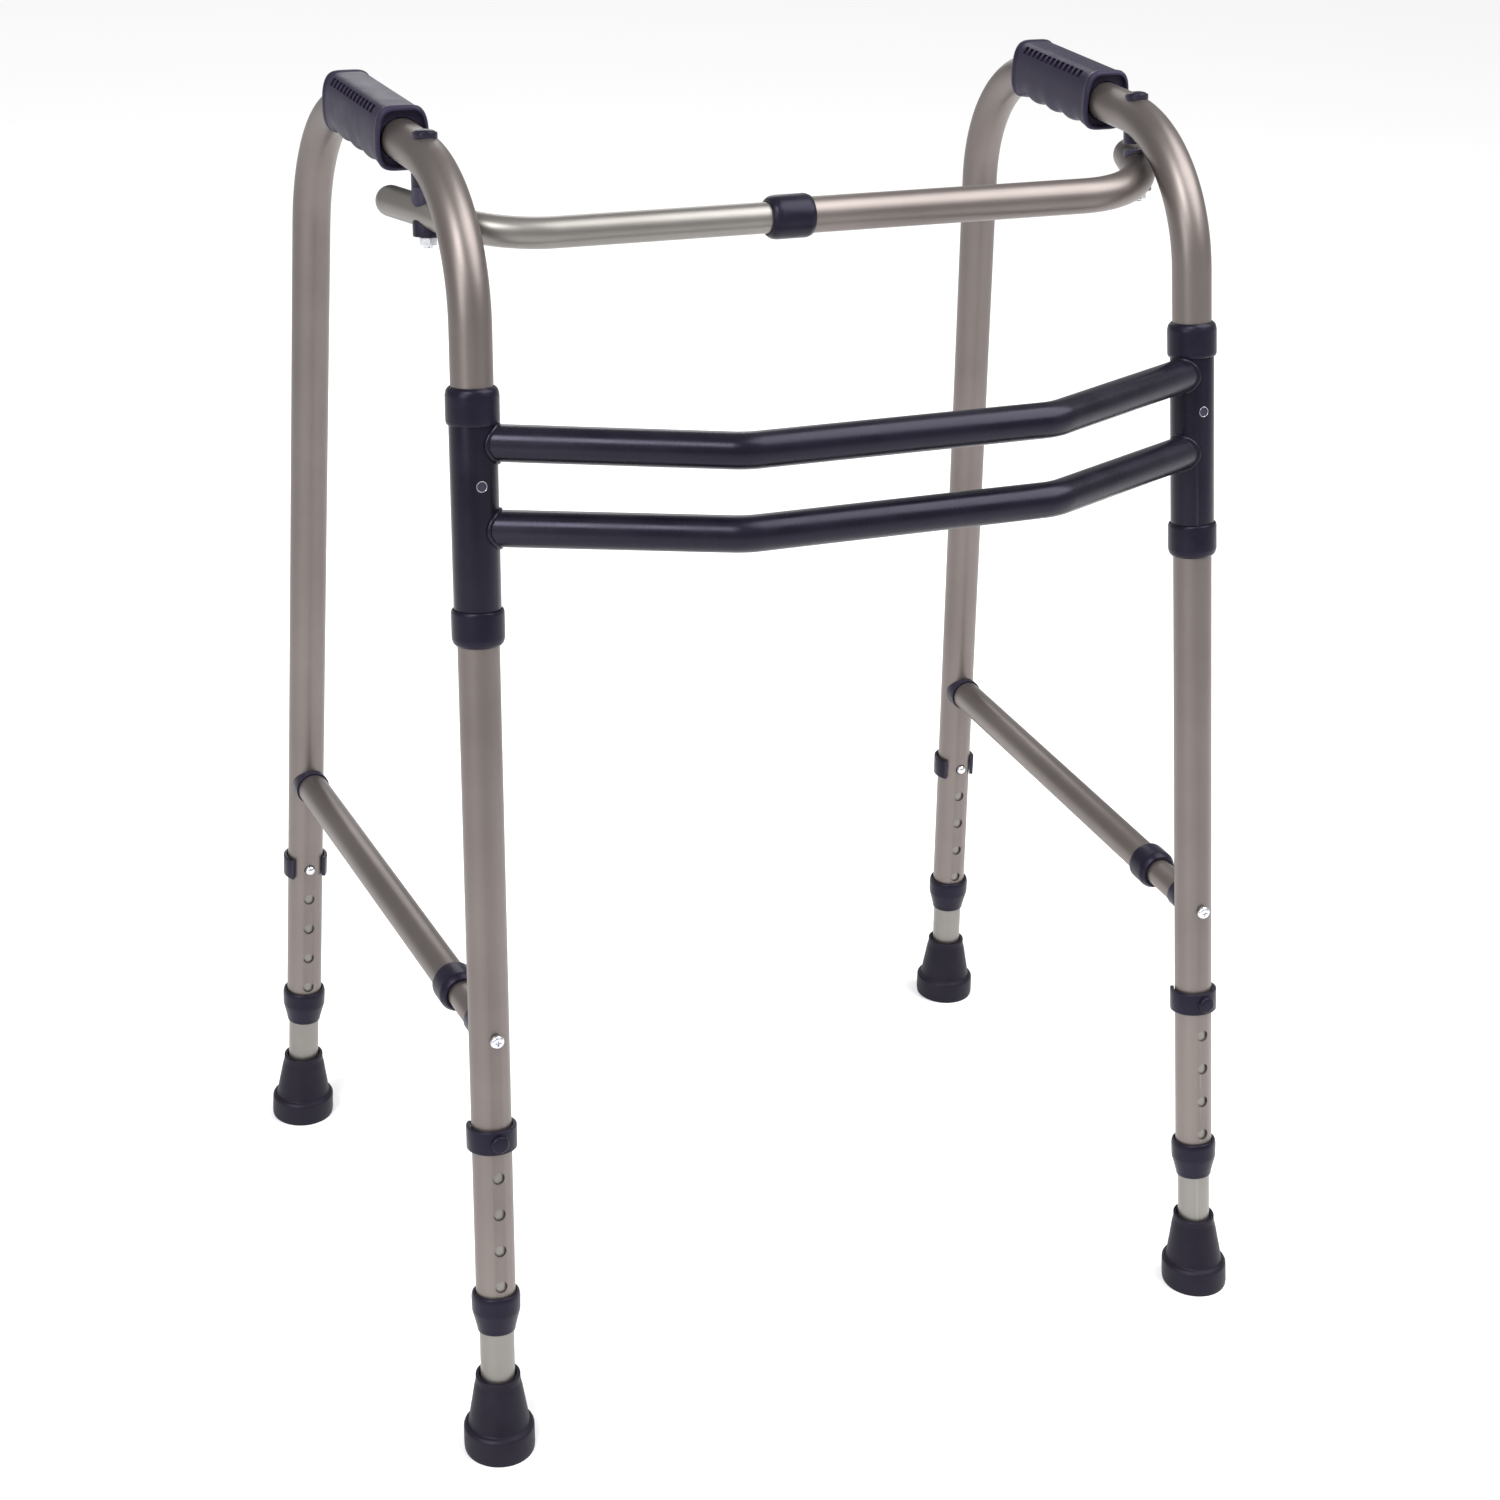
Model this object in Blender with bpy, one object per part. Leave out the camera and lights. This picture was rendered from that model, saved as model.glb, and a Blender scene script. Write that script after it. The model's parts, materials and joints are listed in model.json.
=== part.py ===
"""Folding walking frame with telescopic legs, as separate named pieces in metres, +Z up.

-Y is the walking direction, and the user stands on the +Y side. The user's left is +X.
Each side frame turns about its own front leg, inside the two sleeves of the front crossbar.
"""
import math

import bmesh
import bpy
from mathutils import Matrix, Vector

# Legs: where each axis meets the floor, and how far it moves for each metre of height.
FRONT_FOOT_X = 0.2628
FRONT_FOOT_Y = -0.2155
FRONT_LEAN_X = -0.02829
FRONT_LEAN_Y = 0.16114
REAR_FOOT_X = 0.2791
REAR_FOOT_Y = 0.2155
REAR_LEAN_X = -0.03729
REAR_LEAN_Y = -0.00557

# Side tubes and hand grips.
HANDLE_Z = 0.795
HANDLE_BEND = 0.096
FRONT_HALF_TURN = math.radians(40.4)
TUBE_R = 0.0127
TUBE_BORE = 0.0114
TUBE_END_Z = 0.088
GRIP_START_Y = 0.025
GRIP_END_Y = 0.137
GRIP_HALF_WIDTH = 0.017
GRIP_TOP = 0.021
GRIP_BOTTOM = 0.019
GRIP_FLATNESS = 0.5
GRIP_CROWN = 0.8
GRIP_END_SCALE = 0.94
SCALLOPS = 4
SCALLOP_DEPTH = 0.0022

# Leg extensions, feet, clips and snap buttons.
EXTENSION_R = 0.0111
EXTENSION_BORE = 0.0099
EXTENSION_START_Z = 0.0115
EXTENSION_TOP_Z = 0.262
BUTTON_Z = 0.216
HOLE_PITCH = 0.025
HOLES = 5
HOLE_R = 0.004
DOME_R = 0.0035
DOME_TIP = 0.016
SPRING_WIDTH = 0.008
SPRING_THICKNESS = 0.0009
LEG_COLLAR_BOTTOM_Z = 0.0835
LEG_COLLAR_TOP_Z = 0.110
LEG_COLLAR_R = 0.0157
CLIP_R = 0.016
CLIP_HEIGHT = 0.0156
CLIP_GAP = math.radians(100)
FOOT_R = 0.023
FOOT_FLANGE_Z = 0.0185
FOOT_TOP_Z = 0.052
FOOT_TOP_R = 0.0145
FOOT_FLOOR_Z = 0.008

# Front crossbar: two sleeves round the front legs, and two bowed rails between them.
SLEEVE_R = 0.0143
SLEEVE_LOW_Z = 0.533
SLEEVE_HIGH_Z = 0.677
SLEEVE_HOLE_Z = 0.625
SLEEVE_HOLE_R = 0.0035
SLEEVE_COLLAR_R = 0.016
SLEEVE_COLLAR_HEIGHT = 0.022
SLEEVE_LIP = 0.004
RAIL_R = 0.0111
RAIL_BORE = 0.0099
RAIL_BEND = 0.035
RAIL_BEND_STEPS = 2
RAIL_SIDES = 12
RAIL_CUT_Z = (0.5, 0.72)
RAILS = {
    "upper_rail": {"end_z": 0.6487, "corner": (0.102, -0.183, 0.653)},
    "lower_rail": {"end_z": 0.5985, "corner": (0.103, -0.190, 0.604)},
}

# Side brace, from the rear leg to a screwed stub at the front leg.
BRACE_Z = 0.285
BRACE_R = 0.0111
BRACE_BORE = 0.0099
STUB_R = 0.0095
BRACE_COLLAR_R = 0.014
BRACE_COLLAR_Y = -0.112
BRACE_COLLAR_LENGTH = 0.020
BRACE_SADDLE = 0.005
BRACE_SADDLE_R = {"rear": 0.0122, "front": 0.0105}
STUB_INSIDE = 0.030
STUB_BORE_DEPTH = 0.022
SCREW_DEPTH = 0.018
SCREW_R = 0.003
SCREW_HEAD_R = 0.0045
CROSS_HALF_LENGTH = 0.0024
CROSS_HALF_WIDTH = 0.0006

# Telescopic top bar and its two pivots under the handle tubes.
PIVOT_Y = -0.016
BAR_Z = 0.7625
BAR_OUTER_R = 0.0111
BAR_OUTER_BORE = 0.0099
BAR_INNER_R = 0.0095
BAR_INNER_BORE = 0.0083
BAR_BEND = 0.070
BAR_TAIL = 0.034
BAR_TAIL_ANGLE = math.radians(22)
BAR_SLOPE = 0.12
BAR_MOUTH_X = -0.038
BAR_INNER_END_X = 0.024
BAR_COLLAR_R = 0.0135
BAR_COLLAR_X = (-0.042, -0.014)
BUSH_X = (0.100, 0.110)
BUSH_R = 0.0095
BUSH_BORE = 0.006
SADDLE_R = 0.009
SADDLE_SPLIT_Z = 0.7776
OPEN_PIVOT_GAP = 0.0039
BOLT_R = 0.003
BOLT_HEAD_R = 0.0036
BOLT_HEAD_LIFT = 0.0016
BOLT_HEAD_HEIGHT = 0.0012
BOLT_TIP = 0.0015
CAP_R = 0.007
CAP_DEPTH = 0.003
UPPER_SADDLE_HEIGHT = 0.0085
NUT_R = 0.0055
NUT_HEIGHT = 0.005

# Clearances and the fineness of round shapes.
GAP = 0.0003
CUT_REACH = 0.02
TUBE_SIDES = 16
SMALL_SIDES = 8
BEND_STEPS = 5
SIDES = {"left": 1, "right": -1}
ENDS = ("front", "rear")

for old in list(bpy.data.objects):
    bpy.data.objects.remove(old, do_unlink=True)


# ---------------------------------------------------------------- materials and objects
def finish(name, colour, roughness, metallic):
    """A plain Principled material."""
    material = bpy.data.materials.new(name)
    material.use_nodes = True
    shader = material.node_tree.nodes["Principled BSDF"]
    shader.inputs["Base Color"].default_value = (*colour, 1.0)
    shader.inputs["Roughness"].default_value = roughness
    shader.inputs["Metallic"].default_value = metallic
    return material


FINISHES = {
    "bronze_tube": ((0.25, 0.22, 0.20), 0.34, 1.0),
    "silver_tube": ((0.37, 0.35, 0.31), 0.32, 1.0),
    "black_paint": ((0.02, 0.02, 0.026), 0.3, 0.0),
    "black_plastic": ((0.022, 0.02, 0.032), 0.45, 0.0),
    "grip_plastic": ((0.055, 0.047, 0.075), 0.6, 0.0),
    "foot_rubber": ((0.018, 0.015, 0.025), 0.75, 0.0),
    "zinc": ((0.75, 0.76, 0.78), 0.22, 1.0),
}


def as_mesh(name, shape, world_to_local):
    """Turn a bmesh in world coordinates into a mesh in its body's own coordinates."""
    shape.transform(world_to_local)
    bmesh.ops.recalc_face_normals(shape, faces=shape.faces)
    mesh = bpy.data.meshes.new(name)
    shape.to_mesh(mesh)
    shape.free()
    mesh.shade_smooth()
    mesh.set_sharp_from_angle(angle=math.radians(35))
    return mesh


class Body:
    """An empty on a joint's axis, with the pieces that move with it."""

    def __init__(self, name, frame=None):
        self.frame = frame or Matrix.Identity(4)
        self.empty = bpy.data.objects.new(name + "_body", None)
        self.empty.matrix_world = self.frame
        bpy.context.collection.objects.link(self.empty)

    def add(self, name, shape, look):
        """Add one piece, which keeps its place in the world."""
        piece = bpy.data.objects.new(name, as_mesh(name, shape, self.frame.inverted()))
        piece.parent = self.empty
        material = finish(name, *FINISHES[look])
        piece.data.materials.append(material)
        bpy.context.collection.objects.link(piece)
        return piece

    def combine(self, piece, shape, operation="DIFFERENCE"):
        """Cut a shape from a piece, or join it on, with an exact Boolean."""
        name = f"{piece.name}_{operation.lower()}_{len(piece.modifiers)}"
        tool = bpy.data.objects.new(name, as_mesh(name, shape, self.frame.inverted()))
        tool.parent = self.empty
        tool.hide_render = True
        tool.display_type = "WIRE"
        bpy.context.collection.objects.link(tool)
        boolean = piece.modifiers.new(operation.lower(), "BOOLEAN")
        boolean.object = tool
        boolean.operation = operation
        boolean.solver = "EXACT"


# ---------------------------------------------------------------- shapes
def axis_frame(origin, direction, x_hint=(1, 0, 0)):
    """A frame at origin, with Z along direction and X as near x_hint as it can be."""
    z = Vector(direction).normalized()
    y = z.cross(Vector(x_hint)).normalized()
    x = y.cross(z)
    frame = Matrix((x, y, z)).transposed().to_4x4()
    frame.translation = Vector(origin)
    return frame


def skin(rings, closed=False):
    """Join rings of points with faces. A ring of one point closes that end."""
    shape = bmesh.new()
    rows = [[shape.verts.new(point) for point in ring] for ring in rings]
    pairs = list(zip(rows, rows[1:]))
    if closed:
        pairs.append((rows[-1], rows[0]))
    for low, high in pairs:
        count = max(len(low), len(high))
        for i in range(count):
            j = (i + 1) % count
            corners = [low[i % len(low)], low[j % len(low)], high[j % len(high)], high[i % len(high)]]
            shape.faces.new(list(dict.fromkeys(corners)))
    if not closed:
        for row in (rows[0], rows[-1]):
            if len(row) > 2:
                shape.faces.new(row)
    return shape


def circle(frame, radius, height=0.0, sides=TUBE_SIDES):
    """Points of a circle round the frame's Z axis."""
    if radius == 0:
        return [frame @ Vector((0, 0, height))]
    turns = [2 * math.pi * (i + 0.5) / sides for i in range(sides)]
    return [frame @ Vector((radius * math.cos(a), radius * math.sin(a), height)) for a in turns]


def lathe(frame, profile, sides=TUBE_SIDES):
    """Turn (radius, height) points round Z. A profile off the axis is a closed ring."""
    rings = [circle(frame, radius, height, sides) for radius, height in profile]
    return skin(rings, closed=profile[0][0] > 0 and profile[-1][0] > 0)


def rod(frame, radius, low, high, sides=TUBE_SIDES):
    """A solid cylinder between two heights."""
    return lathe(frame, [(0, low), (radius, low), (radius, high), (0, high)], sides)


def collar(frame, outer, bore, low, high, sides=TUBE_SIDES):
    """A plain ring between two heights."""
    return lathe(frame, [(bore, low), (outer, low), (outer, high), (bore, high)], sides)


def path_frames(path):
    """A frame at each point of a path, turned as little as possible between points."""
    hint = Vector((1, 0, 0)) if abs((path[1] - path[0]).normalized().x) < 0.8 else Vector((0, 0, 1))
    frames = []
    for i, point in enumerate(path):
        ahead = path[min(i + 1, len(path) - 1)]
        behind = path[max(i - 1, 0)]
        before = (point - behind).normalized()
        after = (ahead - point).normalized()
        frame = axis_frame(point, before + after, hint)
        hint = frame.to_3x3() @ Vector((1, 0, 0))
        frames.append(frame)
    return frames


def swept_tube(path, outer, bore, sides=TUBE_SIDES):
    """A hollow tube with square ends."""
    frames = path_frames(path)
    outside = [circle(frame, outer, 0, sides) for frame in frames]
    inside = [circle(frame, bore, 0, sides) for frame in frames]
    return skin(outside + inside[::-1], closed=True)


def swept_rod(path, radius, sides=TUBE_SIDES):
    """A solid bar with square ends."""
    return skin([circle(frame, radius, 0, sides) for frame in path_frames(path)])


def domed_tube(path, outer, bore, sides=TUBE_SIDES):
    """A hollow tube whose first end is closed by a round dome."""
    frames = path_frames(path)
    turns = [math.radians(angle) for angle in (30, 60)]
    outside = [circle(frames[0], 0, -outer, sides)]
    outside += [circle(frames[0], outer * math.sin(a), -outer * math.cos(a), sides) for a in turns]
    outside += [circle(frame, outer, 0, sides) for frame in frames]
    inside = [circle(frame, bore, 0, sides) for frame in frames]
    inside = [circle(frames[0], 0, -bore * 0.5, sides)] + inside
    return skin(outside + inside[::-1])


def rounded_path(corners, radius, steps=BEND_STEPS):
    """Points along straight runs joined by arcs of one radius."""
    points = [Vector(corners[0])]
    for before, corner, after in zip(corners, corners[1:], corners[2:]):
        corner = Vector(corner)
        back = (Vector(before) - corner).normalized()
        ahead = (Vector(after) - corner).normalized()
        half = back.angle(ahead) / 2
        centre = corner + (back + ahead).normalized() * radius / math.sin(half)
        start = corner + back * radius / math.tan(half)
        spoke = start - centre
        turn = math.pi - 2 * half
        axis = back.cross(ahead)
        for step in range(steps + 1):
            points.append(centre + Matrix.Rotation(-turn * step / steps, 3, axis) @ spoke)
    points.append(Vector(corners[-1]))
    return points


def outline_block(frame, outline, low, high):
    """Extrude an outline of (x, y) points between two heights."""
    return skin([[frame @ Vector((x, y, z)) for x, y in outline] for z in (low, high)])


def merged(*shapes):
    """Put shapes that don't touch into one bmesh."""
    whole = bmesh.new()
    for shape in shapes:
        mesh = bpy.data.meshes.new("merged")
        shape.to_mesh(mesh)
        shape.free()
        whole.from_mesh(mesh)
        bpy.data.meshes.remove(mesh)
    return whole


# ---------------------------------------------------------------- the frame's lines
def leg_point(side, end, z):
    """A point on a leg's axis."""
    if end == "front":
        x = FRONT_FOOT_X + FRONT_LEAN_X * z
        y = FRONT_FOOT_Y + FRONT_LEAN_Y * z
    else:
        x = REAR_FOOT_X + REAR_LEAN_X * z
        y = REAR_FOOT_Y + REAR_LEAN_Y * z
    return Vector((SIDES[side] * x, y, z))


def leg_frame(side, end):
    """The frame of a leg, with Z up along it from the floor."""
    foot = leg_point(side, end, 0)
    return axis_frame(foot, leg_point(side, end, 1) - foot)


def along(side, end, z):
    """The distance along a leg's axis to a height."""
    return (leg_point(side, end, z) - leg_point(side, end, 0)).length


def handle_path(side):
    """The side tube's centreline, from the front leg's end to the rear leg's."""
    corners = [
        leg_point(side, "front", TUBE_END_Z),
        leg_point(side, "front", HANDLE_Z),
        leg_point(side, "rear", HANDLE_Z),
        leg_point(side, "rear", TUBE_END_Z),
    ]
    return rounded_path(corners, HANDLE_BEND)


def handle_point(side, y):
    """A point on the line between the side tube's two top corners."""
    front = leg_point(side, "front", HANDLE_Z)
    rear = leg_point(side, "rear", HANDLE_Z)
    return front.lerp(rear, (y - front.y) / (rear.y - front.y))


def pivot_frame(side):
    """The frame of a bar pivot: parallel to the front leg, from the handle tube's centre."""
    centre = handle_point(side, PIVOT_Y)
    bend_start = leg_point(side, "front", HANDLE_Z).y + HANDLE_BEND * math.tan(FRONT_HALF_TURN)
    dip = max(0.0, bend_start - PIVOT_Y)
    centre.z -= HANDLE_BEND - math.sqrt(HANDLE_BEND**2 - dip**2)
    return axis_frame(centre, leg_point(side, "front", 1) - leg_point(side, "front", 0))


def pivot_height(side, z):
    """The distance along the pivot's axis, from the handle tube's centre, to a height."""
    frame = pivot_frame(side)
    return (z - frame.translation.z) / (frame.to_3x3() @ Vector((0, 0, 1))).z


def bar_path(side, end_x):
    """The top bar's centreline, from the tail behind the pivot to a place on the straight run."""
    outward = SIDES[side]
    frame = pivot_frame(side)
    pivot = frame @ Vector((0, 0, pivot_height(side, BAR_Z)))
    tail = Vector((outward * math.sin(BAR_TAIL_ANGLE), math.cos(BAR_TAIL_ANGLE), 0))
    points = [pivot + tail * BAR_TAIL]
    for step in range(BEND_STEPS + 1):
        heading = BAR_TAIL_ANGLE + (math.pi / 2 - BAR_TAIL_ANGLE) * step / BEND_STEPS
        inward = BAR_BEND * (math.cos(BAR_TAIL_ANGLE) - math.cos(heading))
        forward = BAR_BEND * (math.sin(heading) - math.sin(BAR_TAIL_ANGLE))
        points.append(pivot + Vector((-outward * inward, -forward, -forward * BAR_SLOPE)))
    points.append(Vector((end_x, points[-1].y, points[-1].z)))
    return points


def brace_frame(side):
    """The frame of a side brace: at the rear leg's axis, with Z towards the front leg."""
    rear = leg_point(side, "rear", BRACE_Z)
    return axis_frame(rear, leg_point(side, "front", BRACE_Z) - rear)


def brace_length(side):
    """The distance between the two legs' axes at the brace."""
    return (leg_point(side, "front", BRACE_Z) - leg_point(side, "rear", BRACE_Z)).length


# ---------------------------------------------------------------- pieces
def front_hole(side, end, z, radius, deep=0.005, out=0.020):
    """A cutter through the front wall of a leg."""
    frame = leg_frame(side, end)
    centre = frame @ Vector((0, 0, along(side, end, z)))
    forward = frame.to_3x3() @ Vector((0, -1, 0))
    return rod(axis_frame(centre, forward), radius, deep, out, SMALL_SIDES)


def side_tube(body, side):
    """The bent tube with the button holes, the pivot hole and the brace screw's hole."""
    name = side + "_side_tube"
    piece = body.add(name, swept_tube(handle_path(side), TUBE_R, TUBE_BORE), "bronze_tube")
    holes = []
    for end in ENDS:
        pitch = HOLE_PITCH / along(side, end, 1)
        holes += [front_hole(side, end, BUTTON_Z - pitch * i, HOLE_R) for i in range(HOLES)]
    holes.append(rod(pivot_frame(side), BOLT_R + GAP, -CUT_REACH, CUT_REACH, SMALL_SIDES))
    front = brace_length(side)
    screw = rod(brace_frame(side), SCREW_R + GAP, front - CUT_REACH, front + CUT_REACH, SMALL_SIDES)
    holes.append(screw)
    body.combine(piece, merged(*holes))


def grip(body, side):
    """The moulded hand grip: flat on both sides, rounded on top, with finger scallops below."""
    stations = SCALLOPS * 4
    rings = []
    for station in range(stations + 1):
        share = station / stations
        y = GRIP_START_Y + (GRIP_END_Y - GRIP_START_Y) * share
        centre = handle_point(side, y)
        wave = SCALLOP_DEPTH * (0.5 - 0.5 * math.cos(2 * math.pi * SCALLOPS * share))
        edge = GRIP_END_SCALE if station in (0, stations) else 1.0
        ring = []
        for i in range(TUBE_SIDES):
            turn = 2 * math.pi * (i + 0.5) / TUBE_SIDES
            across = math.copysign(abs(math.cos(turn)) ** GRIP_FLATNESS, math.cos(turn))
            up = math.copysign(abs(math.sin(turn)) ** GRIP_CROWN, math.sin(turn))
            height = GRIP_TOP if up > 0 else GRIP_BOTTOM - wave
            offset = Vector((across * GRIP_HALF_WIDTH, 0, up * height))
            ring.append(centre + offset * edge)
        rings.append(ring)
    piece = body.add(side + "_grip", skin(rings), "grip_plastic")
    body.combine(piece, swept_rod(handle_path(side), TUBE_R + 2 * GAP))


def brace(body, side):
    """The side brace: tube, collar, stub, two saddles and the screw at the front leg."""
    frame = brace_frame(side)
    reach = brace_length(side)
    rear = leg_point(side, "rear", BRACE_Z)
    front = leg_point(side, "front", BRACE_Z)
    mid = (rear.y - BRACE_COLLAR_Y) / (rear.y - front.y) * reach
    low = mid - BRACE_COLLAR_LENGTH / 2
    high = mid + BRACE_COLLAR_LENGTH / 2
    lip = high - 0.004
    tube_start = TUBE_R + GAP + BRACE_SADDLE
    tube = collar(frame, BRACE_R, BRACE_BORE, tube_start, lip - GAP)
    body.add(side + "_brace_tube", tube, "bronze_tube")
    ring = [
        (BRACE_R + GAP, low),
        (BRACE_COLLAR_R - 0.001, low),
        (BRACE_COLLAR_R, low + 0.001),
        (BRACE_COLLAR_R, high - 0.003),
        (BRACE_COLLAR_R - 0.002, high),
        (STUB_R + GAP, high),
        (STUB_R + GAP, lip),
        (BRACE_R + GAP, lip),
    ]
    body.add(side + "_brace_collar", lathe(frame, ring), "black_plastic")
    stub_end = reach - TUBE_R - GAP - BRACE_SADDLE
    bore = SCREW_R + GAP
    stub = [
        (0, low - STUB_INSIDE),
        (STUB_R, low - STUB_INSIDE),
        (STUB_R, stub_end),
        (bore, stub_end),
        (bore, stub_end - STUB_BORE_DEPTH),
        (0, stub_end - STUB_BORE_DEPTH),
    ]
    body.add(side + "_brace_stub", lathe(frame, stub), "bronze_tube")
    saddles = {
        "rear": (TUBE_R / 2, tube_start - GAP),
        "front": (stub_end + GAP, reach - TUBE_R / 2),
    }
    for end, (start, stop) in saddles.items():
        saddle = collar(frame, BRACE_SADDLE_R[end], bore, start, stop)
        piece = body.add(f"{side}_brace_{end}_saddle", saddle, "black_plastic")
        middle = along(side, end, BRACE_Z)
        leg_cut = rod(leg_frame(side, end), TUBE_R + 2 * GAP, middle - CUT_REACH, middle + CUT_REACH)
        body.combine(piece, leg_cut)
    head = reach + TUBE_R + 4 * GAP
    screw = [
        (0, stub_end - SCREW_DEPTH),
        (SCREW_R, stub_end - SCREW_DEPTH),
        (SCREW_R, head),
        (SCREW_HEAD_R, head),
        (SCREW_HEAD_R, head + 0.0012),
        (SCREW_HEAD_R * 0.6, head + 0.0024),
        (0, head + 0.0027),
    ]
    piece = body.add(side + "_brace_screw", lathe(frame, screw, SMALL_SIDES), "zinc")
    floor = head + 0.0012
    far = CROSS_HALF_LENGTH
    near = CROSS_HALF_WIDTH
    arms = [(-far, near), (-far, -near), (-near, -near), (-near, -far)]
    arms += [(near, -far), (near, -near), (far, -near), (far, near)]
    arms += [(near, near), (near, far), (-near, far), (-near, near)]
    body.combine(piece, outline_block(frame, arms, floor, floor + CUT_REACH))


def leg(frame_body, leg_body, button_body, side, end):
    """One telescopic leg: collar, extension tube, foot, clip and snap button."""
    name = f"{end}_{side}"
    frame = leg_frame(side, end)
    up = along(side, end, 1)
    bottom = LEG_COLLAR_BOTTOM_Z * up
    top = LEG_COLLAR_TOP_Z * up
    step = (TUBE_END_Z - GAP) * up
    ring = [
        (EXTENSION_R + 2 * GAP, bottom),
        (0.0124, bottom),
        (0.0135, bottom + 0.005),
        (LEG_COLLAR_R, bottom + 0.013),
        (LEG_COLLAR_R, top - 0.001),
        (LEG_COLLAR_R - 0.001, top),
        (TUBE_R + 1.5 * GAP, top),
        (TUBE_R + 1.5 * GAP, step),
        (EXTENSION_R + 2 * GAP, step),
    ]
    frame_body.add(name + "_leg_collar", lathe(frame, ring), "black_plastic")

    low = EXTENSION_START_Z * up
    high = EXTENSION_TOP_Z * up
    tube = collar(frame, EXTENSION_R, EXTENSION_BORE, low, high)
    piece = leg_body.add(name + "_leg_tube", tube, "silver_tube")
    leg_body.combine(piece, front_hole(side, end, BUTTON_Z, HOLE_R))

    foot = leg_point(side, end, 0)
    lean = leg_point(side, end, 1) - foot
    upright = Matrix(((1, 0, lean.x, foot.x), (0, 1, lean.y, foot.y), (0, 0, 1, 0), (0, 0, 0, 1)))
    socket = EXTENSION_R + 0.0008
    profile = [
        (0, 0),
        (FOOT_R - 0.001, 0),
        (FOOT_R, 0.0015),
        (FOOT_R, FOOT_FLANGE_Z - 0.002),
        (0.0198, FOOT_FLANGE_Z),
        (0.0175, 0.032),
        (0.0155, 0.044),
        (FOOT_TOP_R, FOOT_TOP_Z - 0.001),
        (FOOT_TOP_R - 0.001, FOOT_TOP_Z),
        (socket, FOOT_TOP_Z),
        (socket, FOOT_FLOOR_Z),
        (0, FOOT_FLOOR_Z),
    ]
    leg_body.add(name + "_foot", lathe(upright, profile), "foot_rubber")
    clip(leg_body, name, frame, BUTTON_Z * up, closed_front=end == "front")
    snap_button(button_body, name, frame, BUTTON_Z * up)


def clip(body, name, frame, height, closed_front):
    """The sprung C that snaps over the tube at the button. It opens at the back or at the front."""
    facing = math.pi / 2 if closed_front else -math.pi / 2
    steps = 14
    start = facing + CLIP_GAP / 2
    sweep = 2 * math.pi - CLIP_GAP
    turns = [start + sweep * i / steps for i in range(steps + 1)]
    bore = TUBE_R + 1.7 * GAP
    outline = [(CLIP_R * math.cos(a), CLIP_R * math.sin(a)) for a in turns]
    outline += [(bore * math.cos(a), bore * math.sin(a)) for a in reversed(turns)]
    low = height - CLIP_HEIGHT * 0.5
    shape = outline_block(frame, outline, low, low + CLIP_HEIGHT)
    piece = body.add(name + "_clip", shape, "black_plastic")
    if closed_front:
        centre = frame @ Vector((0, 0, height))
        forward = frame.to_3x3() @ Vector((0, -1, 0))
        boss = axis_frame(centre, forward)
        shape = rod(boss, 0.0065, TUBE_R + 0.0015, DOME_TIP + 0.003, SMALL_SIDES)
        body.combine(piece, shape, "UNION")
        body.combine(piece, rod(boss, DOME_R + 0.0009, 0.005, DOME_TIP + 0.001, SMALL_SIDES))


def snap_button(body, name, frame, height):
    """The dome that locks the leg, on its folded leaf spring inside the extension tube."""
    centre = frame @ Vector((0, 0, height))
    forward = frame.to_3x3() @ Vector((0, -1, 0))
    upward = frame.to_3x3() @ Vector((0, 0, 1))
    leaf = axis_frame(centre, upward.cross(forward), upward)
    front = EXTENSION_BORE - 0.0022
    thick = SPRING_THICKNESS
    outline = [
        (-0.030, -0.001),
        (-0.026, front - 0.003),
        (0.006, front),
        (0.006, front - thick),
        (-0.0255, front - 0.003 - thick),
        (-0.0288, -0.001),
        (-0.0255, -front + 0.003 + thick),
        (0.006, -front + thick),
        (0.006, -front),
        (-0.026, -front + 0.003),
    ]
    leaf_outline = [(x, -y) for x, y in outline]
    shape = outline_block(leaf, leaf_outline, -SPRING_WIDTH / 2, SPRING_WIDTH / 2)
    piece = body.add(name + "_snap_button", shape, "zinc")
    dome = [
        (0, front - 0.0015),
        (DOME_R, front - 0.0015),
        (DOME_R, DOME_TIP - 0.0022),
        (DOME_R * 0.72, DOME_TIP - 0.0007),
        (0, DOME_TIP),
    ]
    body.combine(piece, lathe(axis_frame(centre, forward), dome, SMALL_SIDES), "UNION")


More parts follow.
